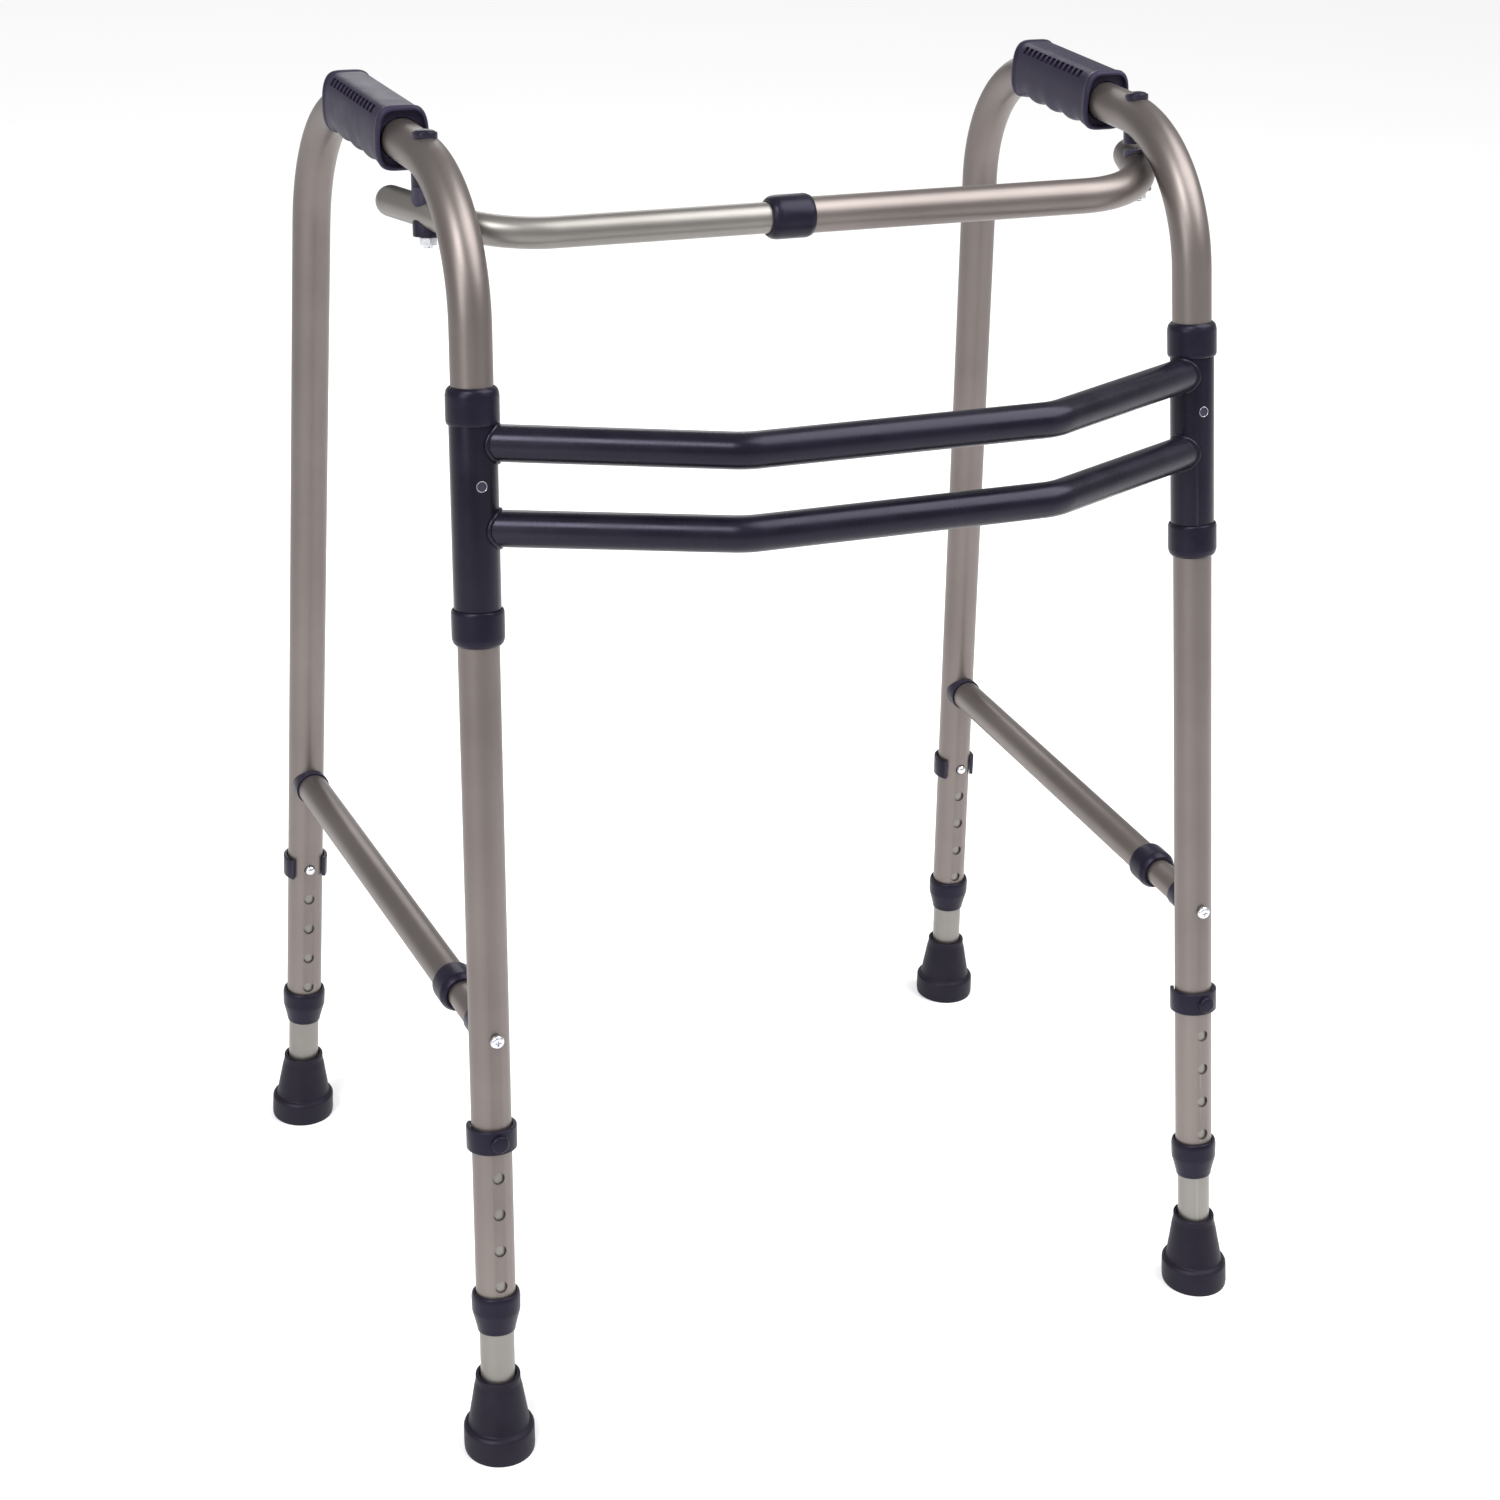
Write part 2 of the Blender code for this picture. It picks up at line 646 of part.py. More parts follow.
def crossbar(body):
    """Two sleeves with their collars, and the two bowed rails between them."""
    for side in SIDES:
        frame = leg_frame(side, "front")
        up = along(side, "front", 1)
        low = SLEEVE_LOW_Z * up
        high = SLEEVE_HIGH_Z * up
        bore = TUBE_R + 1.4 * GAP
        sleeve = collar(frame, SLEEVE_R, bore, low, high)
        piece = body.add(side + "_sleeve", sleeve, "black_paint")
        body.combine(piece, front_hole(side, "front", SLEEVE_HOLE_Z, SLEEVE_HOLE_R))
        for place, start, direction in (("upper", high, 1), ("lower", low, -1)):
            lip = start + direction * GAP
            outer_end = lip + direction * SLEEVE_LIP
            inner_end = outer_end - direction * SLEEVE_COLLAR_HEIGHT
            ring = [
                (SLEEVE_R + GAP, inner_end),
                (SLEEVE_COLLAR_R - 0.001, inner_end),
                (SLEEVE_COLLAR_R, inner_end + direction * 0.001),
                (SLEEVE_COLLAR_R, outer_end - direction * 0.003),
                (SLEEVE_COLLAR_R - 0.002, outer_end),
                (bore, outer_end),
                (bore, lip),
                (SLEEVE_R + GAP, lip),
            ]
            name = f"{side}_{place}_sleeve_collar"
            body.add(name, lathe(frame, ring), "black_plastic")
    for name, rail in RAILS.items():
        x, y, z = rail["corner"]
        corners = [
            leg_point("left", "front", rail["end_z"]),
            (x, y, z),
            (-x, y, z),
            leg_point("right", "front", rail["end_z"]),
        ]
        path = rounded_path(corners, RAIL_BEND, RAIL_BEND_STEPS)
        piece = body.add(name, swept_tube(path, RAIL_R, RAIL_BORE, RAIL_SIDES), "black_paint")
        for side in SIDES:
            body.combine(piece, rod(leg_frame(side, "front"), SLEEVE_R + 2 * GAP, *RAIL_CUT_Z))


def pivot_pieces(frame_body, bolt_body, bar_body, side, bar_radius):
    """The bar's pivot: cap, bolt, nut and three saddles, about one axis."""
    frame = pivot_frame(side)
    tube = swept_rod(handle_path(side), TUBE_R + GAP)
    closed = bolt_body is not frame_body
    split = pivot_height(side, SADDLE_SPLIT_Z)
    swivel_top = split - (GAP if closed else OPEN_PIVOT_GAP)
    bar = pivot_height(side, BAR_Z)
    bore = BOLT_R + GAP
    head = TUBE_R + BOLT_HEAD_LIFT

    ceiling = head + BOLT_HEAD_HEIGHT + GAP
    recess = BOLT_HEAD_R + 2 * GAP
    cap = [
        (0, ceiling),
        (recess, ceiling),
        (recess, TUBE_R - CAP_DEPTH),
        (CAP_R, TUBE_R - CAP_DEPTH),
        (CAP_R, TUBE_R + 0.0018),
        (CAP_R * 0.8, TUBE_R + 0.0034),
        (0, ceiling + 0.0012),
    ]
    piece = frame_body.add(side + "_pivot_cap", lathe(frame, cap, SMALL_SIDES), "black_plastic")
    frame_body.combine(piece, tube.copy())

    upper = collar(frame, SADDLE_R, bore, split, split + UPPER_SADDLE_HEIGHT)
    piece = frame_body.add(side + "_upper_saddle", upper, "black_plastic")
    frame_body.combine(piece, tube.copy())
    tube.free()

    bar_line = swept_rod(bar_path(side, SIDES[side] * 0.1), bar_radius + GAP)
    swivel = collar(frame, SADDLE_R, bore, bar + 0.002, swivel_top)
    piece = bar_body.add(side + "_swivel_saddle", swivel, "black_plastic")
    bar_body.combine(piece, bar_line.copy())
    nut_top = bar - bar_radius - 0.005
    nut_bottom = nut_top - NUT_HEIGHT
    lower = collar(frame, SADDLE_R, bore, nut_top + GAP, bar - 0.004)
    piece = bar_body.add(side + "_lower_saddle", lower, "black_plastic")
    bar_body.combine(piece, bar_line)

    bolt_end = nut_bottom - BOLT_TIP if closed else split + GAP
    bolt = [
        (0, bolt_end),
        (BOLT_R, bolt_end),
        (BOLT_R, head),
        (BOLT_HEAD_R, head),
        (BOLT_HEAD_R, head + BOLT_HEAD_HEIGHT),
        (0, head + BOLT_HEAD_HEIGHT),
    ]
    bolt_body.add(side + "_pivot_bolt", lathe(frame, bolt, SMALL_SIDES), "zinc")
    if closed:
        nut = collar(frame, NUT_R, bore / math.cos(math.pi / 6), nut_bottom, nut_top, 6)
        bolt_body.add(side + "_pivot_nut", nut, "zinc")
    else:
        nut = rod(frame, NUT_R, nut_bottom, nut_top, 6)
        piece = bar_body.add(side + "_pivot_nut", nut, "zinc")
        stud = rod(frame, BOLT_R, nut_bottom - BOLT_TIP, swivel_top - GAP, SMALL_SIDES)
        bar_body.combine(piece, stud, "UNION")


def bar_tube(body, side, name, outer, bore, end_x, look):
    """One half of the top bar, closed by a dome behind its pivot."""
    tube = domed_tube(bar_path(side, end_x), outer, bore)
    piece = body.add(name, tube, look)
    bar = pivot_height(side, BAR_Z)
    hole = rod(pivot_frame(side), BOLT_R + GAP, bar - CUT_REACH, bar + CUT_REACH, SMALL_SIDES)
    body.combine(piece, hole)


def top_bar(outer_body, inner_body, bush_body):
    """The telescopic bar: an outer and an inner tube, the collar and the guide bush."""
    bar_tube(
        outer_body, "left", "bar_outer_tube", BAR_OUTER_R, BAR_OUTER_BORE, BAR_MOUTH_X, "bronze_tube"
    )
    bar_tube(
        inner_body, "right", "bar_inner_tube", BAR_INNER_R, BAR_INNER_BORE, BAR_INNER_END_X, "silver_tube"
    )
    line = bar_path("left", 0.0)
    frame = axis_frame(line[-1], (1, 0, 0), (0, 0, 1))
    low, high = BAR_COLLAR_X
    lip = BAR_MOUTH_X - GAP
    ring = [
        (BAR_INNER_R + GAP, low),
        (BAR_COLLAR_R - 0.0015, low),
        (BAR_COLLAR_R, low + 0.002),
        (BAR_COLLAR_R, high - 0.002),
        (BAR_COLLAR_R - 0.0015, high),
        (BAR_OUTER_R + GAP, high),
        (BAR_OUTER_R + GAP, lip),
        (BAR_INNER_R + GAP, lip),
    ]
    outer_body.add("bar_collar", lathe(frame, ring), "black_plastic")
    bush = collar(frame, BUSH_R, BUSH_BORE, *BUSH_X, SMALL_SIDES)
    bush_body.add("bar_guide_bush", bush, "black_plastic")


# ---------------------------------------------------------------- assembly
def build():
    """Build every piece on its own moving body."""
    crossbar(Body("crossbar"))
    frames = {side: Body(side + "_frame", leg_frame(side, "front")) for side in SIDES}
    right_pivot = Body("right_pivot", pivot_frame("right"))
    inner_half = Body("bar_inner", pivot_frame("right"))
    outer_half = Body("bar_outer", pivot_frame("left"))
    bush = Body("bar_bush", Matrix.Translation(bar_path("left", BUSH_X[0])[-1]))
    for side, body in frames.items():
        side_tube(body, side)
        grip(body, side)
        brace(body, side)
        for end in ENDS:
            frame = leg_frame(side, end)
            name = f"{end}_{side}"
            button_frame = frame @ Matrix.Translation((0, 0, along(side, end, BUTTON_Z)))
            leg_body = Body(name + "_leg", frame)
            button_body = Body(name + "_button", button_frame)
            leg(body, leg_body, button_body, side, end)
    pivot_pieces(frames["right"], right_pivot, inner_half, "right", BAR_INNER_R)
    pivot_pieces(frames["left"], frames["left"], outer_half, "left", BAR_OUTER_R)
    top_bar(outer_half, inner_half, bush)


build()
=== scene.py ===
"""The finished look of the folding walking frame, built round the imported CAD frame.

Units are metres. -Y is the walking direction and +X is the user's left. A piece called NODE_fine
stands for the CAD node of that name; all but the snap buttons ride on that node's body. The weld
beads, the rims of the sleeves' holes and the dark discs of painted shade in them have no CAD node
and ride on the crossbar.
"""
import json
import math

import bmesh
import bpy
from mathutils import Matrix, Vector
from mathutils.bvhtree import BVHTree
from mathutils.interpolate import poly_3d_calc


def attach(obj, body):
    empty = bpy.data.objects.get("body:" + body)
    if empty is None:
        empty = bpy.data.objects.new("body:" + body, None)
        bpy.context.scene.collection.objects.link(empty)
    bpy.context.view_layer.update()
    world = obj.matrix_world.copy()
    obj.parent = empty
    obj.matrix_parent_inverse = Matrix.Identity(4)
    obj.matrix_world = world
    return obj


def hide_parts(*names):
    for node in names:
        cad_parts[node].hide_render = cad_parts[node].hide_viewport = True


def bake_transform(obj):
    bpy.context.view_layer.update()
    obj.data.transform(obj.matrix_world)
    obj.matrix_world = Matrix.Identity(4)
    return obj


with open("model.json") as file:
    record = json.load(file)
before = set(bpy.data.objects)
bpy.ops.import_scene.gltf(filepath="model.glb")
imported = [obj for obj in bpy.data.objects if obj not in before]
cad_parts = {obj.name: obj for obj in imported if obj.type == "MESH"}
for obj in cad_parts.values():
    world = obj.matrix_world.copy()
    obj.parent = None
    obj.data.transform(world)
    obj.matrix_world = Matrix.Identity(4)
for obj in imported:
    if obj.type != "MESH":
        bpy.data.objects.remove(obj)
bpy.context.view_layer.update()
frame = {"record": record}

RECORD = frame["record"]
JOINTS = {joint["name"]: joint for joint in RECORD["behaviour"]["joints"]}
MOUNTS = {mount["name"]: mount for mount in RECORD["mounts"]}
NODE_BODY = {node: body for body, nodes in RECORD["behaviour"]["bodies"].items() for node in nodes}
NODE_SLOT = {part["node"]: part["material_slot"] for part in RECORD["subparts"]}
SIDES = {"left": 1, "right": -1}
ENDS = ("front", "rear")

# Sizes shared with the CAD model.
HANDLE_Z = 0.795
HANDLE_BEND = 0.096
FRONT_HALF_TURN = math.radians(40.4)
TUBE_R = 0.0127
TUBE_BORE = 0.0114
TUBE_END_Z = 0.088
GRIP_START_Y = 0.025
GRIP_END_Y = 0.137
GRIP_HALF_WIDTH = 0.017
GRIP_TOP = 0.021
GRIP_BOTTOM = 0.019
SCALLOPS = 4
EXTENSION_R = 0.0111
EXTENSION_BORE = 0.0099
EXTENSION_START_Z = 0.0115
EXTENSION_TOP_Z = 0.262
BUTTON_Z = 0.216
HOLE_PITCH = 0.025
HOLES = 5
HOLE_R = 0.004
DOME_R = 0.0035
DOME_TIP = 0.016
LEG_COLLAR_BOTTOM_Z = 0.0835
LEG_COLLAR_TOP_Z = 0.110
LEG_COLLAR_R = 0.0157
CLIP_R = 0.016
CLIP_HEIGHT = 0.0156
CLIP_GAP = math.radians(100)
FOOT_R = 0.023
FOOT_FLANGE_Z = 0.0185
FOOT_TOP_Z = 0.052
FOOT_TOP_R = 0.0145
FOOT_FLOOR_Z = 0.008
SLEEVE_R = 0.0143
SLEEVE_LOW_Z = 0.533
SLEEVE_HIGH_Z = 0.677
SLEEVE_HOLE_Z = 0.625
SLEEVE_HOLE_R = 0.0035
SLEEVE_COLLAR_R = 0.016
SLEEVE_COLLAR_HEIGHT = 0.022
SLEEVE_LIP = 0.004
RAIL_R = 0.0111
RAIL_BORE = 0.0099
RAIL_BEND = 0.035
RAILS = {
    "upper_rail": {"end_z": 0.6487, "corner": (0.102, -0.183, 0.653)},
    "lower_rail": {"end_z": 0.5985, "corner": (0.103, -0.190, 0.604)},
}
BRACE_Z = 0.285
BRACE_R = 0.0111
BRACE_BORE = 0.0099
STUB_R = 0.0095
BRACE_COLLAR_R = 0.014
BRACE_COLLAR_Y = -0.112
BRACE_COLLAR_LENGTH = 0.020
BRACE_COLLAR_LIP = 0.004
BRACE_SADDLE = 0.005
BRACE_SADDLE_R = {"rear": 0.0122, "front": 0.0105}
STUB_INSIDE = 0.030
STUB_BORE_DEPTH = 0.022
SCREW_R = 0.003
SCREW_DEPTH = 0.018
SCREW_HEAD_R = 0.0045
PIVOT_Y = -0.016
BAR_Z = 0.7625
BAR_OUTER_R = 0.0111
BAR_OUTER_BORE = 0.0099
BAR_INNER_R = 0.0095
BAR_INNER_BORE = 0.0083
BAR_BEND = 0.070
BAR_TAIL = 0.034
BAR_TAIL_ANGLE = math.radians(22)
BAR_SLOPE = 0.12
BAR_MOUTH_X = -0.038
BAR_INNER_END_X = 0.024
BAR_COLLAR_R = 0.0135
BAR_COLLAR_X = (-0.042, -0.014)
BUSH_X = (0.100, 0.110)
BUSH_R = 0.0095
BUSH_BORE = 0.006
SADDLE_R = 0.009
SADDLE_SPLIT_Z = 0.7776
UPPER_SADDLE_HEIGHT = 0.0085
SWIVEL_SADDLE_START = 0.002
LOWER_SADDLE_END = 0.004
LOWER_SADDLE_WALL = 0.005
OPEN_PIVOT_GAP = 0.0039
BOLT_R = 0.003
BOLT_TIP = 0.0015
CAP_DEPTH = 0.003
NUT_R = 0.0055
NUT_SIDES = 6
NUT_HEIGHT = 0.005
GAP = 0.0003

# The caps and bolt heads, which are a little lower here than in the CAD model.
BOLT_HEAD_R = 0.0032
BOLT_HEAD_LIFT = 0.0014
BOLT_HEAD_HEIGHT = 0.0008
CAP_R = 0.0075
CAP_RIM_HEIGHT = 0.0012
CAP_RIM_WIDTH = 0.0010
CAP_RIM_RIDGE = 0.0005
CAP_CROWN_BASE = 0.0002
CAP_CROWN = 0.0020
CAP_CROWN_STEPS = 8

# How finely curves are drawn, and how cutters and edges are made.
TUBE_SIDES = 48
SMALL_SIDES = 28
CUTTER_SIDES = 64
BEAD_SIDES = 10
BEND_STEPS = 22
RAIL_BEND_STEPS = 10
DOME_STEPS = 10
SMALL_DOME_STEPS = 9
CORNER_STEPS = 3
CORNER_SHARE = 0.45
NEAR_ZERO = 0.00001
SHARP_ANGLE = math.radians(38)
CUT_REACH = 0.02
SADDLE_CUT_REACH = 0.03
HOLE_CUT = (0.005, 0.020)
RAIL_CUT = (0.5, 0.72)
EDGE = 0.0004
FINE_EDGE = 0.0002
COLLAR_EDGE = 0.0009

# Shapes drawn in finer detail than in the CAD model.
GRIP_RING_POINTS = 72
GRIP_SIDE_FLATNESS = 0.45
GRIP_CROWN_FLATNESS = 0.8
GRIP_RIM = ((0.0, 0.90), (0.0005, 0.945), (0.0015, 0.98), (0.003, 0.99), (0.0045, 0.98))
GRIP_BODY_START = 0.0055
GRIP_BODY_SCALE = 0.955
SCALLOP_DEPTH = 0.0026
SCALLOP_STEPS = 12
SCALLOP_SHARPNESS = 1.4
GRIP_RECESS_DEPTH = 0.004
GRIP_RECESS_SCALE = 0.86
SLOT_COUNT = 13
SLOT_START_Y = 0.043
SLOT_PITCH = 0.0066
SLOT_SIZE = (0.0052, 0.0046, 0.0048)
SLOT_ACROSS = 0.0136
SLOT_UP = 0.0165
SLOT_TILT = math.radians(42)
SCREW_CROWN_STEPS = 6
SCREW_CROWN_BASE = 0.0007
SCREW_CROWN = 0.002
SCREW_CROWN_FLAT = 0.55
CROSS_HALF_LENGTH = 0.0021
CROSS_HALF_WIDTH = 0.0005
CROSS_LIFT = 0.0012
TREAD_DEPTH = 0.0012
TREAD_RIBS = ((0.006, 0.009), (0.013, 0.016))
TREAD_RIM_R = 0.019
FOOT_SKIRT = ((0.0186, 0.026), (0.0172, 0.034), (0.0157, 0.043))
CLIP_STEPS = 48
BOSS_R = (0.0058, 0.0056, 0.0046)
BOSS_LIFT = 0.003
LEAF_THICKNESS = 0.0009
LEAF_HALF_WIDTH = 0.004
LEAF_CLEARANCE = 0.0022
LEAF_TAPER = 0.003
LEAF_TOP = 0.006
LEAF_FOLD = 0.026
LEAF_BOTTOM = 0.030
LEAF_INNER_FOLD = 0.0255
LEAF_INNER_BOTTOM = 0.0288
LEAF_FOLD_SHIFT = 0.001
DOME_ROOT = 0.0015
DOME_FLATNESS = 0.75
EYELET_BORE = 0.0028
EYELET_R = 0.0033
EYELET_LIP_R = 0.0030
# SHADE_R is the radius of the dark disc of painted shade in each sleeve hole.
SHADE_R = 0.0027
WELD_R = 0.0015
WELD_STEPS = 40
WELD_LIFT = 0.0004

# The key light and the bright surround.
SUN_PLACE = (-1.7, -1.5, 3.0)
SUN_ANGLE = math.radians(26)
SUN_STRENGTH = 2.25
WORLD_STRENGTH = 0.45

# The soft lights: name, place, target, size and power.
MIDDLE = (0, 0, 0.45)
SOFT_LIGHTS = (
    ("overhead", (1.25, -0.75, 2.5), (0.1, 0, 0.7), 2.0, 72),
    ("left_strip", (-2.2, -1.3, 1.5), MIDDLE, 1.0, 18),
    ("rim", (0.6, 2.6, 1.8), MIDDLE, 1.2, 12),
)

# Camera: the viewing angle and distance of the reference view.
CAMERA_PLACE = (-0.7179, -1.5713, 1.1732)
CAMERA_YAW = math.radians(24.29)
CAMERA_PITCH = math.radians(25.11)
CAMERA_ROLL = math.radians(2.48)
CAMERA_LENS = 65.94
CAMERA_SENSOR = 36.0
CAMERA_CLIP_END = 60.0


# ---------------------------------------------------------------- materials
class Nodes:
    """Short calls for wiring one material's node tree."""

    def __init__(self, name, colour, roughness, metallic=0.0, **sockets):
        self.material = bpy.data.materials.new(name)
        self.material.use_nodes = True
        self.tree = self.material.node_tree
        self.shader = self.tree.nodes["Principled BSDF"]
        self.set(self.shader, Base_Color=(*colour, 1), Roughness=roughness, Metallic=metallic)
        self.set(self.shader, **sockets)
        self.place = self.tree.nodes.new("ShaderNodeTexCoord")

    def set(self, node, **values):
        """Set a node's sockets, whose names have underscores for spaces here."""
        for socket, value in values.items():
            node.inputs[socket.replace("_", " ")].default_value = value

    def link(self, source, target):
        self.tree.links.new(source, target)

    def stretched(self, scale, space="Object"):
        """Coordinates stretched by a scale for each axis."""
        mapping = self.tree.nodes.new("ShaderNodeMapping")
        mapping.inputs["Scale"].default_value = scale
        self.link(self.place.outputs[space], mapping.inputs["Vector"])
        return mapping.outputs["Vector"]

    def evenly(self):
        """Object coordinates, the same on each axis."""
        return self.stretched((1, 1, 1))

    def noise(self, vector, scale, detail, roughness=0.55):
        node = self.tree.nodes.new("ShaderNodeTexNoise")
        self.set(node, Scale=scale, Detail=detail, Roughness=roughness)
        self.link(vector, node.inputs["Vector"])
        return node.outputs["Fac"]

    def ramp(self, value, low, high, low_out, high_out):
        """Map a value between two limits to a new range, clamped."""
        node = self.tree.nodes.new("ShaderNodeMapRange")
        self.link(value, node.inputs["Value"])
        limits = (low, high, low_out, high_out)
        for socket, number in zip(("From Min", "From Max", "To Min", "To Max"), limits):
            node.inputs[socket].default_value = number
        return node.outputs["Result"]

    def blend(self, factor, first, second):
        """Mix two colours, each a colour or a socket."""
        node = self.tree.nodes.new("ShaderNodeMix")
        node.data_type = "RGBA"
        self.link(factor, node.inputs["Factor"])
        for socket, value in (("A", first), ("B", second)):
            target = [item for item in node.inputs if item.name == socket and item.type == "RGBA"][0]
            if isinstance(value, tuple):
                target.default_value = (*value, 1)
            else:
                self.link(value, target)
        return [item for item in node.outputs if item.type == "RGBA"][0]

    def bump(self, height, strength, distance, normal=None):
        node = self.tree.nodes.new("ShaderNodeBump")
        self.set(node, Strength=strength, Distance=distance)
        self.link(height, node.inputs["Height"])
        if normal:
            self.link(normal, node.inputs["Normal"])
        return node.outputs["Normal"]

    def colour(self, socket):
        self.link(socket, self.shader.inputs["Base Color"])

    def roughness(self, socket):
        self.link(socket, self.shader.inputs["Roughness"])

    def normal(self, socket):
        self.link(socket, self.shader.inputs["Normal"])

    def edges(self, low, high):
        """How sharp the edge under a point is, from 0 on flats to 1 on worn corners."""
        node = self.tree.nodes.new("ShaderNodeNewGeometry")
        return self.ramp(node.outputs["Pointiness"], low, high, 0.0, 1.0)


COOL_SHEEN = (0.80, 0.76, 1.0, 1.0)


def anodised(name, colour, light, roughness):
    """Satin anodised aluminium: draw lines along the tube, and a faint cloudiness."""
    nodes = Nodes(name, colour, roughness, metallic=0.85)
    lines = nodes.noise(nodes.stretched((260, 9, 1), "UV"), scale=1.0, detail=4.0, roughness=0.6)
    cloud = nodes.noise(nodes.evenly(), scale=14.0, detail=3.0)
    grain = nodes.noise(nodes.evenly(), scale=2600.0, detail=2.0)
    base = nodes.blend(nodes.ramp(cloud, 0.3, 0.7, 0.0, 1.0), colour, light)
    worn = tuple(1.25 * channel for channel in light)
    nodes.colour(nodes.blend(nodes.edges(low=0.56, high=0.66), base, worn))
    nodes.roughness(nodes.ramp(lines, 0.25, 0.75, roughness - 0.05, roughness + 0.07))
    fine = nodes.bump(lines, strength=0.06, distance=0.00012)
    nodes.normal(nodes.bump(grain, strength=0.05, distance=0.00005, normal=fine))
    return nodes.material


def powder_coat(name):
    """Satin-gloss black powder coat with a slight orange peel."""
    dark = (0.005, 0.0045, 0.009)
    light = (0.010, 0.009, 0.016)
    worn = (0.03, 0.03, 0.04)
    nodes = Nodes(name, (0.006, 0.005, 0.010), 0.27, Specular_IOR_Level=0.26, Specular_Tint=COOL_SHEEN)
    peel = nodes.noise(nodes.evenly(), scale=420.0, detail=2.0)
    dust = nodes.noise(nodes.evenly(), scale=35.0, detail=4.0)
    base = nodes.blend(nodes.ramp(dust, 0.4, 0.8, 0.0, 0.5), dark, light)
    nodes.colour(nodes.blend(nodes.edges(low=0.55, high=0.68), base, worn))
    nodes.roughness(nodes.ramp(dust, 0.3, 0.75, 0.23, 0.34))
    nodes.normal(nodes.bump(peel, strength=0.12, distance=0.00025))
    return nodes.material


def moulded(name, dark, light, worn, roughness, grain_scale, grain):
    """Moulded plastic or rubber with an etched grain and paler rubbed edges."""
    nodes = Nodes(name, dark, roughness, Specular_IOR_Level=0.2, Specular_Tint=COOL_SHEEN)
    fine = nodes.noise(nodes.evenly(), scale=grain_scale, detail=3.0, roughness=0.7)
    patch = nodes.noise(nodes.evenly(), scale=55.0, detail=4.0)
    base = nodes.blend(nodes.ramp(patch, 0.3, 0.75, 0.0, 1.0), dark, light)
    nodes.colour(nodes.blend(nodes.edges(low=0.53, high=0.6), base, worn))
    nodes.roughness(nodes.ramp(patch, 0.25, 0.75, roughness - 0.06, roughness + 0.08))
    nodes.normal(nodes.bump(fine, strength=grain, distance=0.0002))
    return nodes.material


def zinc(name):
    """Bright zinc plate, with fine turning lines and dull patches."""
    bright = (0.78, 0.79, 0.82)
    dull = (0.60, 0.61, 0.66)
    nodes = Nodes(name, (0.74, 0.75, 0.78), 0.24, metallic=1.0)
    patch = nodes.noise(nodes.evenly(), scale=260.0, detail=3.0)
    lines = nodes.noise(nodes.stretched((4, 300, 1), "UV"), scale=1.0, detail=3.0)
    tint = nodes.ramp(patch, 0.35, 0.7, 0.0, 1.0)
    nodes.colour(nodes.blend(tint, bright, dull))
    nodes.roughness(nodes.ramp(patch, 0.3, 0.7, 0.17, 0.34))
    nodes.normal(nodes.bump(lines, strength=0.08, distance=0.00008))
    return nodes.material


MATERIALS = {
    "bronze_tube": anodised(
        "bronze_tube",
        colour=(0.168, 0.145, 0.137),
        light=(0.200, 0.174, 0.164),
        roughness=0.40,
    ),
    "silver_tube": anodised(
        "silver_tube",
        colour=(0.215, 0.203, 0.190),
        light=(0.247, 0.235, 0.221),
        roughness=0.38,
    ),
    "black_paint": powder_coat("black_paint"),
    "black_plastic": moulded(
        "black_plastic",
        dark=(0.006, 0.005, 0.011),
        light=(0.011, 0.009, 0.018),
        worn=(0.035, 0.032, 0.05),
        roughness=0.32,
        grain_scale=1500.0,
        grain=0.1,
    ),
    "grip_plastic": moulded(
        "grip_plastic",
        dark=(0.015, 0.012, 0.026),
        light=(0.022, 0.018, 0.037),
        worn=(0.06, 0.05, 0.09),
        roughness=0.46,
        grain_scale=1300.0,
        grain=0.18,
    ),
    "foot_rubber": moulded(
        "foot_rubber",
        dark=(0.006, 0.005, 0.009),
        light=(0.011, 0.009, 0.015),
        worn=(0.03, 0.027, 0.04),
        roughness=0.48,
        grain_scale=900.0,
        grain=0.22,
    ),
    "zinc_steel": zinc("zinc_steel"),
}


# ---------------------------------------------------------------- pieces and cutters
def to_mesh(name, shape):
    """Turn a bmesh into a smooth-shaded mesh with sharp edges kept."""
    bmesh.ops.recalc_face_normals(shape, faces=shape.faces)
    mesh = bpy.data.meshes.new(name)
    shape.to_mesh(mesh)
    shape.free()
    mesh.shade_smooth()
    mesh.set_sharp_from_angle(angle=SHARP_ANGLE)
    return mesh


def link(name, shape):
    """Put a mesh object in the scene."""
    piece = bpy.data.objects.new(name, to_mesh(name, shape))
    bpy.context.scene.collection.objects.link(piece)
    return piece


def keep_shading(mesh, source):
    """Give the faces that a cut left in place the smooth normals they had before it."""
    inward = 0.01
    same_place = 0.00002
    same_facing = 0.999
    tree = BVHTree.FromPolygons([v.co for v in source.vertices], [p.vertices for p in source.polygons])
    old_normals = [normal.vector.copy() for normal in source.corner_normals]
    normals = [normal.vector.copy() for normal in mesh.corner_normals]
    for face in mesh.polygons:
        for loop in face.loop_indices:
            point = mesh.vertices[mesh.loops[loop].vertex_index].co
            hit = tree.find_nearest(point.lerp(face.center, inward))
            other = source.polygons[hit[2]]
            if hit[3] > same_place or face.normal.dot(other.normal) < same_facing:
                continue
            corners = [source.vertices[i].co for i in other.vertices]
            weights = poly_3d_calc(corners, point)
            smooth = sum((old_normals[i] * w for i, w in zip(other.loop_indices, weights)), Vector())
            normals[loop] = smooth.normalized()
    mesh.normals_split_custom_set(normals)


